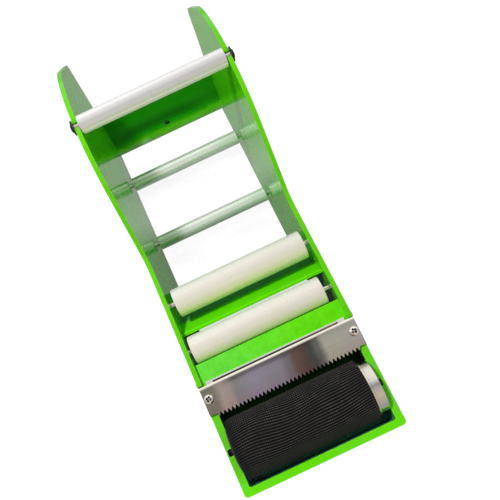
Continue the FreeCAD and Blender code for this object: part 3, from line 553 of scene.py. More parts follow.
def tank_plastic(skin):
    """The green shell with a dark film inside the tank, mostly painted shade and lighter near the
    front wall, and a painted highlight along the inner edge of the rim.
    """
    green_plastic(skin)
    lo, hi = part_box("water_tank")
    rim_and_wall = 4.9 * MM
    rear_wall = 1.7 * MM
    front = lo.y + rim_and_wall
    rear = hi.y - rear_wall
    side = hi.x - rim_and_wall
    film = skin.effect("Tank grime", Middle=(0.0, (front + rear) / 2, lo.z),
                       Half_size=(side, (rear - front) / 2, hi.z),
                       Waterline=hi.z - 3.2 * MM)["Mask"]
    parts = skin.parts()
    milky = skin.times(skin.ramp(skin.unsigned(parts["X"]), side, side + 0.8 * MM),
                       skin.ramp(parts["Y"], front - 3.0 * MM, front + 14.0 * MM))
    skin.tint(milky, (0.92, 0.80, 3.5))
    # Painted highlight: a pale line along the inner edges of the rim.
    skin.stain(skin.wear(1.2 * MM, 0.8), (0.34, 0.88, 0.10))
    # Painted shade inside the tank, made far lighter near the front wall as painted light there.
    painted_shade_colour = skin.mix(skin.ramp(parts["Y"], front + 9.0 * MM, front),
                       skin.finish.tank_inside, shade(skin.finish.tank_inside, 110.0))
    skin.stain(film, painted_shade_colour)
    skin.scuff(film, 0.12)


# painted light on a tube by which way it faces, from its front side over the top to its rear:
# greenish bounce light low at the front, a painted highlight towards the rear
GUIDE_PAINTED_LIGHT = ((0.06, (0.84, 1.06, 0.48)), (0.21, (0.89, 0.94, 0.73)), (0.39, (0.95, 0.93, 0.87)),
              (0.55, (1.00, 0.98, 0.95)), (0.65, (1.08, 1.06, 1.03)), (0.82, (1.14, 1.15, 1.16)))
SPINDLE_PAINTED_LIGHT = ((0.00, (1.95, 2.05, 1.55)), (0.06, (1.06, 1.08, 0.95)), (0.23, (0.92, 0.92, 0.92)),
                (0.42, (1.14, 1.13, 1.15)), (0.64, (1.54, 1.54, 1.56)), (1.00, (1.54, 1.54, 1.56)))


def roller_plastic(skin, kind, gloss, tint):
    """Satin extruded tube: faint drawing lines along it, a little handling grime, and painted light
    by which way it faces.
    """
    tone = getattr(skin.finish, kind)
    lines = skin.noise(1400.0, 3.0, 0.7, (0.01, 1.0, 1.0))
    skin.base = skin.mix(skin.ramp(lines, 0.3, 0.7), shade(tone, 0.975), shade(tone, 1.02))
    skin.stain(skin.patches((70.0, 5.0, 0.65), 0.48, 0.8), (0.42, 0.37, 0.29), 0.05)
    # Painted light: the colour is multiplied by bands read from which way the surface faces.
    side = skin.plus(skin.times(skin.parts(skin.normal())["Y"], 0.5), 0.5)
    skin.tint(1.0, skin.bands(side, tint))
    skin.stain(skin.wear(0.5 * MM, 0.25), (0.62, 0.60, 0.55))
    skin.stain(skin.dust(), (0.50, 0.49, 0.46))
    skin.rough = skin.patches((90.0, 4.0, 0.6), 0.3, 0.7, 0.26, 0.40)
    skin.set(IOR=1.49, Specular_IOR_Level=gloss, Subsurface_Weight=0.06,
             Subsurface_Scale=1.5 * MM, Normal=skin.bump(lines, 0.25, 0.02 * MM))


def metal(skin, tone, roughness, streak, stained, stain, spread=0.08, relief=0.25):
    """Ground or drawn metal: streaks along its length, stain patches and fine scratches."""
    grain = skin.effect("Drawn metal")
    lines = skin.scratches(120.0, 0.5)
    skin.base = skin.mix(grain["Streaks"], shade(tone, 1.0 - streak), shade(tone, 1.0 + streak))
    skin.stain(grain["Stains"], stained, stain)
    skin.stain(skin.wear(0.3 * MM, 0.5), shade(tone, 1.35))
    skin.rough = skin.ramp(grain["Streaks"], 0.0, 1.0, roughness - spread / 2, roughness + spread)
    skin.scuff(lines, 0.12)
    skin.scuff(grain["Stains"], 0.04)
    height = skin.minus(grain["Streaks"], lines)
    skin.set(Metallic=1.0, Normal=skin.bump(height, relief, 0.012 * MM))


GREY = (0.30, 0.28, 0.27)  # of the stains on plain metal


def satin_tube(skin):
    """Thin metal tube with a milky, half-polished skin."""
    metal(skin, (0.94, 0.92, 0.95), 0.24, 0.02, GREY, 0.05, 0.04, 0.03)
    skin.set(Metallic=0.34)


def screw_metal(skin):
    """Plated screws, with painted shade in their cross recesses."""
    metal(skin, (0.78, 0.75, 0.72), 0.13, 0.05, GREY, 0.3)
    # Painted shade: the recess is darker where little open space is around it.
    open_space = skin.put("AmbientOcclusion", {"Distance": 1.2 * MM}, samples=8).outputs["AO"]
    skin.stain(skin.ramp(open_space, 0.90, 0.60), (0.045, 0.035, 0.03))


def stained_sheet(skin):
    """The cutter: polished stainless sheet with a few stains, and painted reflections in soft
    coloured patches along it.
    """
    metal(skin, skin.finish.stainless, 0.15, 0.03, (0.50, 0.47, 0.46), 0.15, 0.05, 0.06)
    lo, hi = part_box("cutter_blade")
    painted_reflections = skin.effect("Tarnish", Half_length=(hi.x - lo.x) / 2)["Stain"]
    parts = skin.parts()
    depth = skin.plus(parts["Y"], skin.waver(120.0, 1.6 * MM))
    from_spot = skin.unsigned(skin.plus(parts["X"], 8.0 * MM))
    # Painted reflection: a dark band near the rear edge of the cutter.
    painted_dark_reflection = skin.times(skin.ramp(depth, hi.y - 4.4 * MM, hi.y - 2.4 * MM),
                        skin.ramp(from_spot, 34.0 * MM, 24.0 * MM))
    painted_reflections = skin.mix(skin.times(painted_dark_reflection, 0.55), painted_reflections, (0.16, 0.13, 0.13))
    # Painted reflection: a rosy tone towards the teeth.
    painted_rosy_reflection = skin.ramp(depth, hi.y - 9.0 * MM, hi.y - 17.0 * MM)
    painted_reflections = skin.mix(skin.times(painted_rosy_reflection, 0.5), painted_reflections, (1.12, 0.90, 0.92), "MULTIPLY")
    # The painted reflections stop at the bright lip.
    bright_lip = skin.ramp(parts["Y"], hi.y - 2.1 * MM, hi.y - 1.5 * MM)
    skin.tint(1.0, skin.mix(bright_lip, painted_reflections, (1.0, 0.98, 0.96)))


def slot_sheet(skin):
    """The slot's lower guide: bright sheet with painted shade along the mouth of the slot, dark and
    turning brown towards the right.
    """
    metal(skin, (0.92, 0.88, 0.86), 0.22, 0.04, (0.60, 0.54, 0.54), 0.3)
    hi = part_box("throat_guide")[1]
    parts = skin.parts()
    place = skin.plus(parts["Y"], skin.times(skin.noise(70.0, 2.0, 0.5), 0.2 * MM))
    # Painted shade: a dark line along the mouth of the slot, less metallic there.
    slot_shade = skin.times(skin.ramp(place, hi.y - 0.70 * MM, hi.y - 1.05 * MM),
                     skin.ramp(skin.unsigned(parts["X"]), hi.x - 4.6 * MM, hi.x - 5.4 * MM))
    painted_shade_colour = skin.mix(skin.ramp(parts["X"], 0.0, 45.0 * MM), (0.012, 0.010, 0.012),
                       (0.16, 0.09, 0.07))
    skin.stain(slot_shade, painted_shade_colour)
    skin.set(Metallic=skin.minus(1.0, skin.times(slot_shade, 0.9)))


def nickel(skin):
    """Turned and plated ring: fine tool marks around the axis."""
    along = skin.times(skin.parts()["X"], 9000.0)
    rings = skin.put("TexNoise", {"W": along, "Scale": 1.0, "Detail": 4.0},
                     noise_dimensions="1D").outputs["Fac"]
    cloud = skin.patches((120.0, 4.0, 0.6), 0.35, 0.7)
    skin.base = skin.mix(rings, (0.52, 0.51, 0.50), (0.70, 0.69, 0.67))
    skin.stain(cloud, (0.40, 0.36, 0.31), 0.25)
    skin.stain(skin.wear(0.4 * MM, 0.5), (0.85, 0.84, 0.82))
    skin.rough = skin.ramp(cloud, 0.0, 1.0, 0.14, 0.26)
    skin.set(Metallic=1.0, Normal=skin.bump(rings, 0.3, 0.012 * MM))


def dark_plastic(skin, tone, roughness):
    """Plain inner mouldings, dull and a little scuffed."""
    surface = skin.effect("Moulded surface", Peel=0.5, Waves=0.3)
    skin.base = skin.mix(surface["Tone"], shade(tone, 0.85), shade(tone, 1.15))
    skin.stain(skin.scratches(90.0, 0.6), shade(tone, 2.2), 0.3)
    skin.rough = skin.ramp(surface["Tone"], 0.0, 1.0, roughness * 0.85, roughness * 1.15)
    skin.set(IOR=1.5, Normal=skin.bump(surface["Height"], 0.4, 0.04 * MM))


def clip_steel(skin):
    """Blackened spring steel with bright spots where it was pressed on."""
    spots = skin.patches((420.0, 4.0, 0.65), 0.55, 0.7)
    bright = skin.calc("MAXIMUM", skin.times(spots, 0.35), skin.wear(0.3 * MM, 0.8))
    skin.base = skin.mix(bright, (0.035, 0.030, 0.027), (0.46, 0.42, 0.38))
    skin.rough = skin.patches((300.0, 3.0, 0.6), 0.3, 0.7, 0.16, 0.3)
    skin.set(Metallic=1.0, Normal=skin.bump(spots, 0.2, 0.02 * MM))


def knit_fabric(skin):
    """Ribbed elastic knit: stitches along each rib, fuzz, painted light on the crests and painted
    shade in the grooves, painted glints, and an even front flank.
    """
    knit = skin.effect("Rib knit")
    yarn = skin.finish.knit
    painted_crest_light = skin.times(knit["Crest"], skin.ramp(knit["Loops"], 0.0, 1.0, 0.55, 1.0))
    painted_glints = skin.times(knit["Dots"], skin.patches((130.0, 3.0, 0.7), 0.4, 0.65))
    # Painted light and shade: the crests far lighter than the grooves.
    skin.base = skin.mix(painted_crest_light, shade(yarn, 0.02), shade(yarn, 2.6))
    skin.stain(knit["Fuzz"], shade(yarn, 2.2), 0.13)
    # Painted glints on the stitches along the crests.
    skin.stain(painted_glints, shade(yarn, 11.0), 0.9)
    skin.stain(skin.patches((45.0, 4.0, 0.6), 0.35, 0.7), shade(yarn, 0.6), 0.4)
    lo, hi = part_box("fabric_cover")
    middle = (lo + hi) / 2
    radius = radius_of("fabric_cover")
    lean = math.radians(20)
    spot = skin.parts()
    ahead = skin.times(skin.minus(middle.y, spot["Y"]), math.cos(lean))
    under = skin.times(skin.minus(middle.z, spot["Z"]), math.sin(lean))
    reach = skin.plus(skin.plus(ahead, under), skin.waver(60.0, 1.5 * MM))
    # An even colour over the front lower flank, without the lighter crests.
    front_flank = skin.ramp(reach, 0.33 * radius, 0.55 * radius)
    skin.stain(front_flank, (0.0170, 0.0210, 0.0160), 0.85)
    hem = skin.ramp(spot["X"], lo.x + 6.0 * MM, lo.x + 1.5 * MM)
    skin.stain(hem, (0.006, 0.007, 0.010), 0.75)
    skin.rough = skin.ramp(knit["Loops"], 0.0, 1.0, 0.95, 0.7)
    height = skin.plus(skin.times(knit["Loops"], 0.8), skin.times(knit["Fuzz"], 0.3))
    skin.set(Sheen_Weight=0.05, Sheen_Roughness=0.4, Specular_IOR_Level=0.3,
             Normal=skin.bump(height, 0.8, 0.2 * MM))


def sponge_foam(skin):
    """Open-cell sponge, seen only at the ends of the cover."""
    cells = skin.put("TexVoronoi", {"Vector": skin.place(), "Scale": 900.0}).outputs["Distance"]
    pores = skin.ramp(cells, 0.15, 0.6)
    # Painted shade: the pores darker than the cell walls.
    skin.base = skin.mix(pores, (0.13, 0.11, 0.06), (0.48, 0.42, 0.24))
    skin.rough = skin.patches((80.0, 3.0, 0.6), 0.3, 0.7, 0.6, 0.95)
    skin.set(Normal=skin.bump(pores, 0.9, 0.3 * MM))


# finish: how it is made, and with what values of its own
FINISHES = {
    "green_shell": (green_plastic,),
    "plate_shell": (plate_plastic,),
    "rear_guard_shell": (rear_guard_plastic,),
    "front_guard_shell": (front_guard_plastic,),
    "deck_shell": (deck_plastic,),
    "tank_shell": (tank_plastic,),
    "roller_plastic": (roller_plastic, "ivory", 0.7, GUIDE_PAINTED_LIGHT),
    "spindle_plastic": (roller_plastic, "cool_white", 1.0, SPINDLE_PAINTED_LIGHT),
    "plug_plastic": (moulded_plastic, (0.62, 0.61, 0.58), 0.38, (0.70, 0.69, 0.66)),
    "stained_sheet": (stained_sheet,),
    "slot_sheet": (slot_sheet,),
    "bright_steel": (metal, (0.62, 0.61, 0.60), 0.14, 0.06, GREY, 0.25),
    "wet_steel": (metal, (0.035, 0.035, 0.034), 0.38, 0.1, (0.06, 0.04, 0.03), 0.4),
    "polished_tube": (satin_tube,),
    "screw_steel": (screw_metal,),
    "clip_steel": (clip_steel,),
    "nickel_ring": (nickel,),
    "dark_core": (dark_plastic, (0.016, 0.016, 0.018), 0.45),
    "sponge": (sponge_foam,),
    "cover_fabric": (knit_fabric,),
}


def material(finish):
    """The material of a finish, made when it is first asked for."""
    name = "dispenser_" + finish
    found = bpy.data.materials.get(name)
    if found:
        return found
    skin = Skin(name)
    make, *values = FINISHES[finish]
    make(skin, *values)
    skin.set(Base_Color=skin.base, Roughness=skin.rough)
    return skin.made


# ---------------------------------------------------------------- mesh

def mesh_from(bm, name, outwards=True):
    """A mesh from an edit mesh, its faces turned outwards."""
    if outwards:
        bmesh.ops.recalc_face_normals(bm, faces=bm.faces)
    mesh = bpy.data.meshes.new(name)
    bm.to_mesh(mesh)
    bm.free()
    return mesh


def add_piece(name, mesh, finish, *nodes, slot_name=None, sharp=40.0):
    """A piece from a mesh: smooth up to an angle, riding on its body, standing for its solids."""
    for polygon in mesh.polygons:
        polygon.use_smooth = True
    mesh.set_sharp_from_angle(angle=math.radians(sharp))
    mesh.materials.append(material(finish))
    piece = bpy.data.objects.new(name, mesh)
    bpy.context.scene.collection.objects.link(piece)
    body = body_of(nodes[0])
    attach(piece, body)
    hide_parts(*nodes)
    return piece


def body_of(node):
    """The body that a solid belongs to."""
    for body, nodes in frame["record"]["behaviour"]["bodies"].items():
        if node in nodes:
            return body
    raise RuntimeError("no body holds " + node)


def radius_of(node):
    """Outer radius of a turned solid."""
    lo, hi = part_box(node)
    return (hi.z - lo.z) / 2


def welded_solid(node):
    """The solid's own mesh, its triangles joined at their corners."""
    bm = bmesh.new()
    bm.from_mesh(frame["nodes"][node].data)
    bmesh.ops.remove_doubles(bm, verts=bm.verts, dist=WELD)
    return bm


def slice_at(bm, place, direction):
    """New edges across the mesh where a plane passes."""
    bmesh.ops.bisect_plane(bm, geom=bm.verts[:] + bm.edges[:] + bm.faces[:], plane_co=place,
                           plane_no=direction, dist=CUT_SLACK)


def loose_boxes(node):
    """Lowest and highest corner of each separate solid of a node."""
    bm = welded_solid(node)
    waiting = set(bm.verts)
    boxes = []
    while waiting:
        stack = [waiting.pop()]
        points = []
        while stack:
            vert = stack.pop()
            points.append(vert.co.copy())
            for edge in vert.link_edges:
                other = edge.other_vert(vert)
                if other in waiting:
                    waiting.discard(other)
                    stack.append(other)
        boxes.append((Vector(map(min, zip(*points))), Vector(map(max, zip(*points)))))
    bm.free()
    return sorted(boxes, key=lambda box: tuple(round(part, 5) for part in box[0]))


def rounded_solid(name, node, finish, radius, slot_name, keep=None, steps=3, reshape=None):
    """The solid with the chosen sharp edges rounded and flat faces kept flat."""
    bm = welded_solid(node)
    flat = math.radians(0.6)
    bmesh.ops.dissolve_limit(bm, angle_limit=flat, verts=bm.verts, edges=bm.edges)
    sharp = math.radians(30)
    edges = [edge for edge in bm.edges
             if len(edge.link_faces) == 2 and edge.calc_face_angle() > sharp
             and (keep is None or keep(edge))]
    bmesh.ops.bevel(bm, geom=edges, offset=radius, segments=steps, profile=0.5,
                    affect="EDGES", clamp_overlap=True, loop_slide=True)
    if reshape:
        reshape(bm)
    piece = add_piece(name, mesh_from(bm, name), finish, node, slot_name=slot_name, sharp=50.0)
    weighted = piece.modifiers.new("Flat faces", "WEIGHTED_NORMAL")
    weighted.keep_sharp = True
    weighted.weight = 80


def round_corners(corners):
    """A closed outline from corners (x, r, radius), each corner an arc of its own radius."""
    steps = 5
    under_half = 0.49
    outline = []
    for index, (x, r, radius) in enumerate(corners):
        here = Vector((x, r))
        if radius <= 0.0:
            outline.append(here)
            continue
        before = Vector(corners[index - 1][:2]) - here
        after = Vector(corners[(index + 1) % len(corners)][:2]) - here
        half = before.angle(after) / 2
        reach = min(radius / math.tan(half), before.length * under_half,
                    after.length * under_half)
        start = here + before.normalized() * reach
        end = here + after.normalized() * reach
        for step in range(steps + 1):
            part = step / steps
            outline.append(start * (1 - part) ** 2 + here * 2 * part * (1 - part)
                           + end * part ** 2)
    return outline


def tube_outline(left, right, inner, outer, edge, inner_edge=0.15 * MM):
    """Outline of a tube with rounded ends."""
    return round_corners([(left, inner, inner_edge), (right, inner, inner_edge),
                          (right, outer, edge), (left, outer, edge)])


def join_rings(bm, rings, closed=True):
    """Faces between rings of corners, each with its step; a ring of one corner is a tip."""
    around = max(map(len, rings))
    faces = []
    for ring, other in zip(rings, rings[1:] + (rings[:1] if closed else [])):
        for step in range(around):
            corners = [ring[step % len(ring)], ring[(step + 1) % len(ring)],
                       other[(step + 1) % len(other)], other[step % len(other)]]
            faces.append((step, bm.faces.new(list(dict.fromkeys(corners)))))
    return faces


def spin(bm, outline, facets, middle, axis=ACROSS, first=BACK, second=UP, closed=True):
    """Spin an outline of points (place along the axis, radius) about the axis."""
    turns = [2 * math.pi * step / facets for step in range(facets)]
    spokes = [first * math.cos(turn) + second * math.sin(turn) for turn in turns]
    rings = [[bm.verts.new(middle + axis * place + spoke * radius)
              for spoke in (spokes if radius > 0 else spokes[:1])] for place, radius in outline]
    join_rings(bm, rings, closed)


def turned_piece(name, node, finish, *outlines, slot_name=None):
    """A turned piece with one or more closed outlines, in place of a solid."""
    lo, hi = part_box(node)
    middle = (lo + hi) / 2
    middle.x = 0.0
    bm = bmesh.new()
    for outline in outlines:
        spin(bm, outline, bpy.context.scene.dispenser_sizes.facets, middle)
    bmesh.ops.remove_doubles(bm, verts=bm.verts, dist=SEAM)
    return add_piece(name, mesh_from(bm, name), finish, node, slot_name=slot_name)


# ---------------------------------------------------------------- shell and cutter

def is_outline_edge(edge):
    """Whether an edge runs along the outline of a side plate, and not round a small hole."""
    shortest = 0.9 * MM
    rim, side = sorted(abs(face.normal.x) for face in edge.link_faces)
    return rim < 0.1 and side > 0.9 and edge.calc_length() > shortest


def guard_directions():
    """Up the slope of the rear guard, and square to it towards the rear, with its hole's middle."""
    for mount in frame["record"]["mounts"]:
        if mount["name"] == "fixing_hole":
            through = Vector(mount["axis"])
            return Vector((0.0, -through.z, through.y)), through, Vector(mount["pos_m"])
    raise RuntimeError("the record has no fixing hole")


def curl_foot(bm):
    """Turn the foot of the rear guard forward in an arc, a little shorter than it was."""
    sizes = bpy.context.scene.dispenser_sizes
    up, through, middle = guard_directions()
    start = min(vert.co.dot(up) for vert in bm.verts) + sizes.guard_curl_start
    steps = 8
    for step in range(steps):
        slice_at(bm, up * (start - sizes.guard_curl_start * step / steps), up)
    shorter = 0.95
    radius = sizes.guard_curl_start * shorter / sizes.guard_curl
    centre = middle.dot(through)
    for vert in bm.verts:
        below = start - vert.co.dot(up)
        if below <= 0.0:
            continue
        bent = below * shorter / radius
        offset = vert.co.dot(through) - centre
        outward = through * math.cos(bent) - up * math.sin(bent)
        vert.co = (ACROSS * vert.co.x + up * (start - radius * math.sin(bent))
                   + through * (centre - radius * (1 - math.cos(bent))) + outward * offset)


def add_boss(bm):
    """A raised ring round the fixing hole, on the hidden rear face of the guard."""
    up, through, middle = guard_directions()
    bore = 2.0 * MM
    near = [vert.co.dot(through) for vert in bm.verts if (vert.co - middle).length < 4.0 * MM]
    rear = max(near) - middle.dot(through)
    sunk = rear - 0.2 * MM
    top = rear + 3.2 * MM
    outline = ((sunk, bore), (sunk, 3.7 * MM), (top - 0.3 * MM, 3.3 * MM), (top, 3.0 * MM),
               (top, bore + 0.2 * MM), (top - 0.2 * MM, bore))
    facets = 48
    spin(bm, outline, facets, middle, through, ACROSS, up)


def finish_guard(bm):
    curl_foot(bm)
    add_boss(bm)


def roll_rear_edge(bm):
    """Lift the cutter's rear edge in a small roll and let the sheet before it dip."""
    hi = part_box("cutter_blade")[1]
    lip = 2.1 * MM
    rise = 0.9 * MM
    sheet = 0.6 * MM
    shape = ((lip, 0.0), (1.75 * MM, 0.35 * MM), (1.4 * MM, 0.55 * MM), (0.0, -0.45 * MM))
    for back, _ in shape[:3]:
        slice_at(bm, (0, hi.y - back, 0), BACK)
    for vert in bm.verts:
        place = hi.y - vert.co.y
        plain = hi.z - rise * place / lip
        if place > lip or vert.co.z < plain - sheet:
            continue
        for (far, before), (near, after) in zip(shape, shape[1:]):
            if near <= place <= far:
                vert.co.z += after + (before - after) * (place - near) / (far - near)
                break


# ---------------------------------------------------------------- screws

def cross_cutter(reach, width, depth, top):
    """Two crossed wedges that cut a cross recess, narrower at the bottom."""
    bm = bmesh.new()
    for turned in (0.0, math.pi / 2):
        rings = []
        for level, part in ((top, 1.0), (top - depth, 0.45)):
            wide = width / 2 * (0.6 + 0.4 * part)
            rings.append([bm.verts.new(Matrix.Rotation(turned, 3, "Z")
                                       @ Vector((x * reach * part, y * wide, level)))
                          for x, y in ((-1, -1), (1, -1), (1, 1), (-1, 1))])
        join_rings(bm, rings, closed=False)
        for ring in rings:
            bm.faces.new(ring)
    return mesh_from(bm, "screw_cutter")


def pan_head_screw(head_radius, head_height, shank_radius, shank):
    """Domed pan head with a cross recess on a plain shank, head down to tip along -Z."""
    crown = head_height * 0.28
    foot = head_height * 0.12
    outline = [(-shank, 0.0), (-shank, shank_radius * 0.4),
               (-shank + shank_radius, shank_radius), (0.0, shank_radius),
               (0.0, head_radius * 0.97), (foot, head_radius)]
    steps = 8
    for step in range(1, steps + 1):
        turned = math.pi / 2 * step / steps
        outline.append((foot + (head_height - foot - crown) * math.sin(turned)
                        + crown * (1 - math.cos(turned)),
                        head_radius * (0.42 + 0.58 * math.cos(turned))))
    outline.append((head_height, 0.0))
    bm = bmesh.new()
    facets = 40
    spin(bm, outline, facets, Vector(), UP, ACROSS, BACK, closed=False)
    cross = cross_cutter(reach=head_radius * 0.62, width=1.45 * MM, depth=head_height * 0.8,
                         top=head_height + 0.05 * MM)
    screw = bpy.data.objects.new("screw_blank", mesh_from(bm, "screw_blank"))
    cutter = bpy.data.objects.new("screw_cutter", cross)
    for thing in (screw, cutter):
        bpy.context.scene.collection.objects.link(thing)
    cut = screw.modifiers.new("Recess", "BOOLEAN")
    cut.object = cutter
    cut.operation = "DIFFERENCE"
    cut.solver = "EXACT"
    cut.use_self = True
    bpy.context.view_layer.update()
    ready = bpy.data.meshes.new_from_object(
        screw.evaluated_get(bpy.context.evaluated_depsgraph_get()))
    for thing in (screw, cutter):
        bpy.data.objects.remove(thing)
    return ready


def screws_piece(name, node, upright, head_radius, head_height, shank_radius):
    """All the screws of a node, heads pointing up or outwards along X."""
    bm = bmesh.new()
    draw = random.Random(7)
    for lo, hi in loose_boxes(node):
        middle = (lo + hi) / 2
        direction = UP if upright else ACROSS * math.copysign(1.0, middle.x)
        full = abs((hi - lo).dot(direction))
        blank = pan_head_screw(head_radius, head_height, shank_radius, full - head_height)
        turned = Matrix.Rotation(draw.uniform(0, math.pi), 4, "Z")
        aim = direction.to_track_quat("Z", "Y").to_matrix().to_4x4()
        seat = middle + direction * (full / 2 - head_height)
        blank.transform(Matrix.Translation(seat) @ aim @ turned)
        bm.from_mesh(blank)
        bpy.data.meshes.remove(blank)
    add_piece(name, mesh_from(bm, name, outwards=False), "screw_steel", node, sharp=35.0)


# ---------------------------------------------------------------- wetting roller

def ribbed_cover():
    """Elastic knitted sleeve: ribs along its length, gathered and turned in at both ends."""
    sizes = bpy.context.scene.dispenser_sizes
    lo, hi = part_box("fabric_cover")
    centre = (lo + hi) / 2
    outer = radius_of("fabric_cover")
    inner = radius_of("sponge_sleeve") + 0.03 * MM
    ribs = round(2 * math.pi * outer / sizes.rib_pitch)
    steps_per_rib = 8
    around = ribs * steps_per_rib
    length = hi.x - lo.x
    uneven = 0.05 * MM
    crests = outer - 0.11 * MM
    floor = inner + 0.02 * MM
    hem = 1.5 * MM
    hem_steps = 6
    middle_steps = 44
    turn_in = [hem * (1 - math.cos(math.pi / 2 * step / hem_steps)) for step in range(hem_steps)]
    stations = [lo.x + place for place in turn_in]
    stations += [lo.x + hem + (length - 2 * hem) * step / middle_steps
                 for step in range(middle_steps + 1)]
    stations += [hi.x - place for place in reversed(turn_in)]
    turns = [2 * math.pi * step / around for step in range(around)]
    bm = bmesh.new()
    rows = []
    for x in stations:
        end = min(x - lo.x, hi.x - x)
        drop = 0.0
        if end < hem:
            drop = 0.8 * (outer - inner) * (1 - math.sqrt(1 - (1 - end / hem) ** 2))
        part = (x - lo.x) / length
        row = []
        for turned in turns:
            crest = 0.5 + 0.5 * math.cos(ribs * turned)
            groove = sizes.rib_depth * (1 - crest ** 0.7)
            wave = uneven * (math.sin(3 * turned + 90 * x) + math.sin(140 * x + 5 * turned))
            r = max(floor, crests - groove - drop + wave)
            turned += sizes.rib_drift / outer * (0.70 * math.sin(7.0 * part - 2.3)
                                                 + 0.35 * math.sin(13.0 * part + 2.0 * turned))
            row.append(bm.verts.new((x, centre.y + r * math.cos(turned),
                                     centre.z + r * math.sin(turned))))
        rows.append(row)
    for x in (hi.x - 0.1 * MM, lo.x + 0.1 * MM):
        rows.append([bm.verts.new((x, centre.y + inner * math.cos(turned),
                                   centre.z + inner * math.sin(turned))) for turned in turns])
    count = bm.loops.layers.uv.new("stitches")
    for step, face in join_rings(bm, rows):
        for loop, rib in zip(face.loops, (step, step + 1, step + 1, step)):
            loop[count].uv = ((loop.vert.co.x - lo.x) / sizes.stitch_pitch, rib * ribs / around)
    cover = add_piece("knitted_cover", mesh_from(bm, "knitted_cover"), "cover_fabric",
                      "fabric_cover", sharp=180.0)


def plug_outline(core):
    """The left end plug: a flange over the core tube and a spigot with a hub inside it."""
    lo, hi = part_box("wetting_plug")
    spigot = core - 1.24 * MM
    hollow = spigot - 1.0 * MM
    hub = 5.0 * MM
    flange = lo.x + 1.2 * MM
    end = lo.x + 7.2 * MM
    return round_corners([
        (lo.x, RUNNING_BORE, 0.2 * MM), (hi.x, RUNNING_BORE, 0.1 * MM), (hi.x, hub, 0.2 * MM),
        (flange, hub, 0.0), (flange, hollow, 0.0), (end, hollow, 0.2 * MM),
        (end, spigot, 0.2 * MM), (flange, spigot, 0.0), (flange, core, 0.1 * MM),
        (lo.x, core, 0.5 * MM)])


def cap_outline():
    """The metal cap: face, skirt and rolled bead, from the solid's own measures."""
    lo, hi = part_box("wetting_cap")
    bead = radius_of("wetting_cap")
    core = radius_of("wetting_core") + PRESS_FIT
    skirt = bead - 0.6 * MM
    bore = radius_of("wetting_axle") + 0.06 * MM
    face = hi.x - 1.2 * MM
    dish = hi.x - 0.5 * MM
    edge = hi.x - 7.2 * MM
    hub = 5.0 * MM
    return round_corners([
        (hi.x, bore, 0.2 * MM), (hi.x, hub, 0.3 * MM), (dish, hub + 1.0 * MM, 0.5 * MM),
        (dish, skirt - 2.4 * MM, 0.5 * MM), (hi.x, skirt - 1.5 * MM, 0.5 * MM),
        (hi.x, skirt, 0.6 * MM), (edge + 1.9 * MM, skirt, 0.2 * MM),
        (edge + 1.6 * MM, bead, 0.45 * MM), (edge + 0.3 * MM, bead, 0.45 * MM),
        (edge, skirt, 0.2 * MM), (edge, core, 0.1 * MM), (face, core, 0.0),
        (face, hub, 0.0), (lo.x, hub, 0.2 * MM), (lo.x, bore, 0.1 * MM)])


# ---------------------------------------------------------------- operators

class DressShell(bpy.types.Operator):
    """Round the edges of the green pieces and give them their plastic"""

    bl_idname = "dispenser.dress_shell"
    bl_label = "Green shell"

    def execute(self, context):
        sizes = context.scene.dispenser_sizes
        for side in ("left", "right"):
            rounded_solid("plate_" + side, side + "_side_plate", "plate_shell", sizes.plate_edge,
                          "green_shell", keep=is_outline_edge)
        for node, finish, reshape in (("front_panel", "green_shell", None),
                                      ("tape_deck", "deck_shell", None),
                                      ("roll_guard_front", "front_guard_shell", None),
                                      ("water_tank", "tank_shell", None),
                                      ("roll_guard_rear", "rear_guard_shell", finish_guard)):
            rounded_solid("green_" + node, node, finish, sizes.shell_edge, "green_shell",
                          reshape=reshape)
        return {"FINISHED"}


class DressCutter(bpy.types.Operator):
    """Break the edges of the toothed cutter and of the tape slot's lower guide"""

    bl_idname = "dispenser.dress_cutter"
    bl_label = "Cutter and tape slot"

    def execute(self, context):
        edge = context.scene.dispenser_sizes.sheet_edge
        rounded_solid("toothed_cutter", "cutter_blade", "stained_sheet", edge, "stainless",
                      steps=2, reshape=roll_rear_edge)
        rounded_solid("slot_guide", "throat_guide", "slot_sheet", edge, "stainless", steps=2)
        return {"FINISHED"}


class MakeScrews(bpy.types.Operator):
    """Make the pan-head screws with their cross recesses"""

    bl_idname = "dispenser.make_screws"
    bl_label = "Screws"

    def execute(self, context):
        screws_piece("cutter_screws", "blade_screws", True, 3.4 * MM, 2.2 * MM, 1.75 * MM)
        screws_piece("shell_screws", "frame_screws", False, 2.7 * MM, 1.8 * MM, 1.45 * MM)
        return {"FINISHED"}


class MakeRollers(bpy.types.Operator):
    """Turn the guide rollers, the support rollers and the spindle roller with their plugs"""

    bl_idname = "dispenser.make_rollers"
    bl_label = "Rollers"

    def execute(self, context):
        for kind, finish, slot_name in (("guide_front", "roller_plastic", "roller_plastic"),
                                        ("guide_rear", "roller_plastic", "roller_plastic"),
                                        ("spindle", "spindle_plastic", "roller_plastic"),
                                        ("support_front", "polished_tube", "polished_tube"),
                                        ("support_rear", "polished_tube", "polished_tube")):
            node = kind + "_tube"
            lo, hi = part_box(node)
            plug = radius_of(kind + "_plugs")
            plastic = slot_name == "roller_plastic"
            edge = context.scene.dispenser_sizes.tube_edge if plastic else 0.35 * MM
            outline = tube_outline(lo.x, hi.x, plug + PRESS_FIT, radius_of(node), edge)
            turned_piece(kind + "_roller", node, finish, outline, slot_name=slot_name)
            plugs = [tube_outline(lo.x, hi.x, RUNNING_BORE, plug, 0.3 * MM, 0.25 * MM)
                     for lo, hi in loose_boxes(kind + "_plugs")]
            turned_piece(kind + "_end_plugs", kind + "_plugs", "plug_plastic", *plugs)
        return {"FINISHED"}


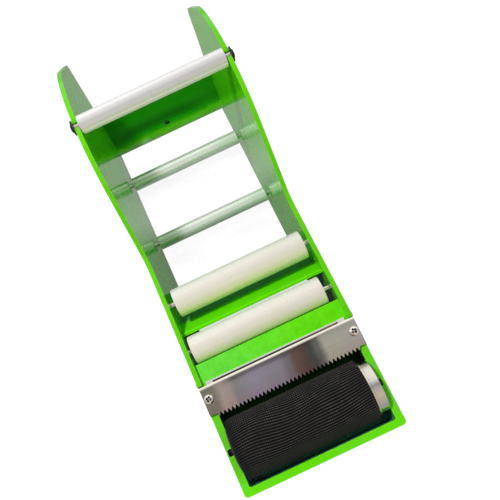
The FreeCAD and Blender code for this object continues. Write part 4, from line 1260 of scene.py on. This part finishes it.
class MakeAxles(bpy.types.Operator):
    """Turn the axles, the spindle rod and its clips"""

    bl_idname = "dispenser.make_axles"
    bl_label = "Axles and clips"

    def execute(self, context):
        centre = 0.02 * MM
        for node in ("guide_axle_front", "guide_axle_rear", "support_axle_front",
                     "support_axle_rear", "spindle_rod", "wetting_axle"):
            lo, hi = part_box(node)
            outline = round_corners([(lo.x, centre, 0.0), (hi.x, centre, 0.0),
                                     (hi.x, radius_of(node), 0.35 * MM),
                                     (lo.x, radius_of(node), 0.35 * MM)])
            finish = "wet_steel" if node == "wetting_axle" else "bright_steel"
            turned_piece("pin_" + node, node, finish, outline, slot_name="bright_steel")
        clips = []
        bore = 2.04 * MM
        rim = radius_of("spindle_clips")
        for lo, hi in loose_boxes("spindle_clips"):
            side = math.copysign(1.0, lo.x)
            near, far = (lo.x, hi.x) if side > 0 else (hi.x, lo.x)
            sheet = near + 0.8 * MM * side
            clips.append(round_corners([
                (near, rim, 0.2 * MM), (near, bore + 0.9 * MM, 0.1 * MM),
                (near + 0.9 * MM * side, bore, 0.1 * MM), (far, bore, 0.15 * MM),
                (far, 2.85 * MM, 0.3 * MM), (sheet, 3.3 * MM, 0.3 * MM), (sheet, rim, 0.2 * MM)]))
        turned_piece("rod_clips", "spindle_clips", "clip_steel", *clips)
        return {"FINISHED"}


class MakeWettingRoller(bpy.types.Operator):
    """Make the wetting roller: core, left plug, metal cap, sponge and knitted cover"""

    bl_idname = "dispenser.make_wetting_roller"
    bl_label = "Wetting roller"

    def execute(self, context):
        core = radius_of("wetting_core")
        lo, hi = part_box("wetting_core")
        turned_piece("core_tube", "wetting_core", "dark_core",
                     tube_outline(lo.x, hi.x, core - 1.2 * MM, core, 0.1 * MM))
        turned_piece("core_plug", "wetting_plug", "dark_core", plug_outline(core))
        turned_piece("metal_cap", "wetting_cap", "nickel_ring", cap_outline())
        lo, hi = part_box("sponge_sleeve")
        ring = turned_piece("sponge_ring", "sponge_sleeve", "sponge",
                            tube_outline(lo.x, hi.x, core + PRESS_FIT,
                                         radius_of("sponge_sleeve"), 0.6 * MM))
        ribbed_cover()
        return {"FINISHED"}


class MakeStage(bpy.types.Operator):
    """Set the floor, the lamp, the sky and the camera"""

    bl_idname = "dispenser.make_stage"
    bl_label = "Floor, lamp and camera"

    def execute(self, context):
        stage = context.scene.dispenser_stage
        make_floor(stage)
        make_world(context.scene, stage)
        make_lamp("key_lamp", place=(-0.18, 0.10, 0.86), side=0.06, power=stage.key_power)
        make_camera(context.scene, stage)
        context.scene.view_settings.view_transform = "Standard"
        return {"FINISHED"}


# ---------------------------------------------------------------- stage

WHITE = (1, 1, 1)


def emptied(holder):
    """The nodes of a material or a world, with none in them yet."""
    holder.use_nodes = True
    holder.node_tree.nodes.clear()
    return Nodes(holder.node_tree)


def seen_direct(nodes, path):
    """Whether something is seen straight or through glass, and not in a reflection."""
    return nodes.calc("MAXIMUM", path["Is Camera Ray"], path["Is Transmission Ray"])


def make_floor(stage):
    """A plain pale floor that shows white, with a faint shadow, and with painted shade where it is
    shut in and under the machine.
    """
    half = 3.0
    below = -0.05 * MM
    bm = bmesh.new()
    bm.faces.new([bm.verts.new((x * half, y * half, below))
                  for x, y in ((-1, -1), (1, -1), (1, 1), (-1, 1))])
    mesh = mesh_from(bm, "floor", outwards=False)
    made = bpy.data.materials.new("pale_floor")
    nodes = emptied(made)
    path = nodes.put("LightPath").outputs
    paper = nodes.patches((30.0, 4.0, 0.6), 0.3, 0.7)
    # Painted shade: the white is dimmer where the floor is shut in.
    open_sky = nodes.put("AmbientOcclusion", {"Distance": 0.12}, samples=8).outputs["AO"]
    white = nodes.put("Emission", {"Color": (1, 1, 1, 1),
                                   "Strength": nodes.ramp(open_sky, 0.0, 0.26, 0.50, 1.06)})
    spot = nodes.parts()
    under = nodes.calc("LESS_THAN", nodes.unsigned(spot["X"]), CAD_BOX[1][0])
    inside = nodes.times(under, nodes.calc("GREATER_THAN", spot["Y"], CAD_BOX[0][1]))
    reach = 0.18
    along = nodes.calc("DIVIDE", nodes.plus(spot["Y"], reach), 2 * reach)
    # Painted shade and light on the floor seen in reflections: dark at the front of the bay, bright
    # towards its rear.
    reflected_floor_shade = nodes.bands(along, (
        (0.38, (0.06, 0.06, 0.06)), (0.50, (0.46, 0.45, 0.43)), (0.60, (0.46, 0.45, 0.43)),
        (0.70, (1.00, 0.98, 0.95)), (0.80, (0.80, 0.78, 0.75)), (0.90, (0.80, 0.78, 0.75))))
    grey = nodes.put("Emission", {"Color": nodes.mix(inside, WHITE, reflected_floor_shade),
                                  "Strength": stage.floor_mirrored})
    # Painted shade: the floor is darker under the machine, which dims its bounce light.
    pale = nodes.mix(inside, (0.78, 0.78, 0.78), (0.60, 0.60, 0.59))
    matte = nodes.put("BsdfDiffuse", {
        "Color": nodes.mix(1.0, pale, nodes.mix(paper, (0.95, 0.95, 0.95), WHITE), "MULTIPLY")})
    own_light = 0.96
    plain = nodes.put("MixShader", {0: nodes.times(seen_direct(nodes, path), own_light),
                                    1: matte.outputs[0], 2: white.outputs[0]})
    both = nodes.put("MixShader", {0: path["Is Glossy Ray"], 1: plain.outputs[0],
                                   2: grey.outputs[0]})
    nodes.put("OutputMaterial", {"Surface": both.outputs[0]})
    mesh.materials.append(made)
    floor = bpy.data.objects.new("floor", mesh)
    bpy.context.scene.collection.objects.link(floor)


def make_world(scene, stage):
    """Soft light from all round; bright metal sees a room with a paler end behind the roll."""
    world = bpy.data.worlds.new("studio")
    nodes = emptied(world)
    path = nodes.put("LightPath").outputs
    direction = nodes.place("Generated")
    clouds = nodes.put("TexNoise", {"Vector": direction, "Scale": 3.0,
                                    "Detail": 2.0}).outputs["Fac"]
    ripple = nodes.times(nodes.minus(clouds, 0.5), 0.03)
    depth = nodes.plus(nodes.times(nodes.parts(direction)["Y"], 0.5), 0.5)
    room = nodes.bands(nodes.plus(depth, ripple), (
        (0.00, (0.66, 0.61, 0.55)), (0.14, (0.84, 0.71, 0.54)), (0.38, (0.68, 0.64, 0.58)),
        (0.47, (0.44, 0.43, 0.44)), (0.52, (0.44, 0.43, 0.44)), (0.54, (0.64, 0.64, 0.65)),
        (0.57, (0.72, 0.72, 0.72)), (0.70, (1.30, 1.28, 1.24)), (0.84, (1.38, 1.24, 1.10)),
        (1.00, (1.40, 1.38, 1.34))))
    sky = nodes.bands(depth, ((0.0, (1.00, 0.99, 0.96)), (0.12, (0.66, 0.66, 0.64)),
                              (0.3, (0.30, 0.30, 0.30)), (0.5, (0.29, 0.29, 0.295)),
                              (0.8, (0.36, 0.36, 0.365)), (1.0, (0.42, 0.42, 0.42))))
    usual_ambient = 0.36
    soft = nodes.put("VectorMath", {0: sky, "Scale": stage.ambient / usual_ambient},
                     operation="SCALE").outputs[0]
    glossy = nodes.mix(path["Is Glossy Ray"], soft, room)
    shown = nodes.mix(seen_direct(nodes, path), glossy, WHITE)
    background = nodes.put("Background", {"Color": shown, "Strength": 1.0})
    nodes.put("OutputWorld", {"Surface": background.outputs[0]})
    scene.world = world


def make_lamp(name, place, side, power):
    """A square soft lamp aimed at the machine; reflections show the room and not the lamp."""
    lamp = bpy.data.lights.new(name, "AREA")
    lamp.shape = "SQUARE"
    lamp.size = side
    lamp.energy = power
    holder = bpy.data.objects.new(name, lamp)
    holder.location = place
    holder.visible_glossy = False
    machine = Vector((0.0, 0.0, 0.08))
    aim = machine - Vector(place)
    holder.rotation_euler = aim.to_track_quat("-Z", "Y").to_euler()
    bpy.context.scene.collection.objects.link(holder)


def make_camera(scene, stage):
    """The camera above the tank, tilted towards the rear and turned about its line of sight."""
    image = 500.0
    sensor = 36.0
    focal_pixels = 600.0
    centre_right = 18.55
    centre_up = 8.73
    tilt = stage.camera_tilt
    away = BACK * math.cos(tilt) + UP * math.sin(tilt)
    sight = BACK * math.sin(tilt) - UP * math.cos(tilt)
    right = ACROSS * math.cos(stage.camera_turn) - away * math.sin(stage.camera_turn)
    up = ACROSS * math.sin(stage.camera_turn) + away * math.cos(stage.camera_turn)
    lens = bpy.data.cameras.new("camera")
    lens.sensor_width = sensor
    lens.lens = focal_pixels / image * sensor
    lens.shift_x = centre_right / image
    lens.shift_y = centre_up / image
    lens.clip_start = 0.01
    lens.clip_end = 20.0
    holder = bpy.data.objects.new("camera", lens)
    place = Vector((0, CAD_BOX[0][1] + stage.camera_foot, stage.camera_height))
    turned = Matrix((right, up, -sight)).transposed().to_4x4()
    holder.matrix_world = Matrix.Translation(place) @ turned
    scene.collection.objects.link(holder)
    scene.camera = holder


# ---------------------------------------------------------------- panel and start

class DispenserPanel(bpy.types.Panel):
    """The steps of the dispenser in the sidebar"""

    bl_idname = "VIEW3D_PT_dispenser"
    bl_label = "Gummed tape dispenser"
    bl_space_type = "VIEW_3D"
    bl_region_type = "UI"
    bl_category = "Dispenser"

    def draw(self, context):
        layout = self.layout
        for step in STEPS:
            layout.operator(step.bl_idname, text=step.bl_label)
        for settings in SETTINGS:
            values = getattr(context.scene, settings)
            column = layout.column(align=True)
            for name in values.__annotations__:
                column.prop(values, name)


STEPS = (DressShell, DressCutter, MakeScrews, MakeRollers, MakeAxles, MakeWettingRoller, MakeStage)
SETTINGS = {
    "dispenser_sizes": DispenserSizes,
    "dispenser_finish": DispenserFinish,
    "dispenser_stage": DispenserStage,
}
CLASSES = (*SETTINGS.values(), *STEPS, DispenserPanel)


def register():
    for kind in CLASSES:
        bpy.utils.register_class(kind)
    for name, kind in SETTINGS.items():
        setattr(bpy.types.Scene, name, PointerProperty(type=kind))


def unregister():
    for name in SETTINGS:
        delattr(bpy.types.Scene, name)
    for kind in reversed(CLASSES):
        bpy.utils.unregister_class(kind)


def main():
    """Register, and dress the machine step by step."""
    register()
    bpy.ops.dispenser.dress_shell()
    bpy.ops.dispenser.dress_cutter()
    bpy.ops.dispenser.make_screws()
    bpy.ops.dispenser.make_rollers()
    bpy.ops.dispenser.make_axles()
    bpy.ops.dispenser.make_wetting_roller()
    bpy.ops.dispenser.make_stage()


if __name__ == "__main__":
    main()
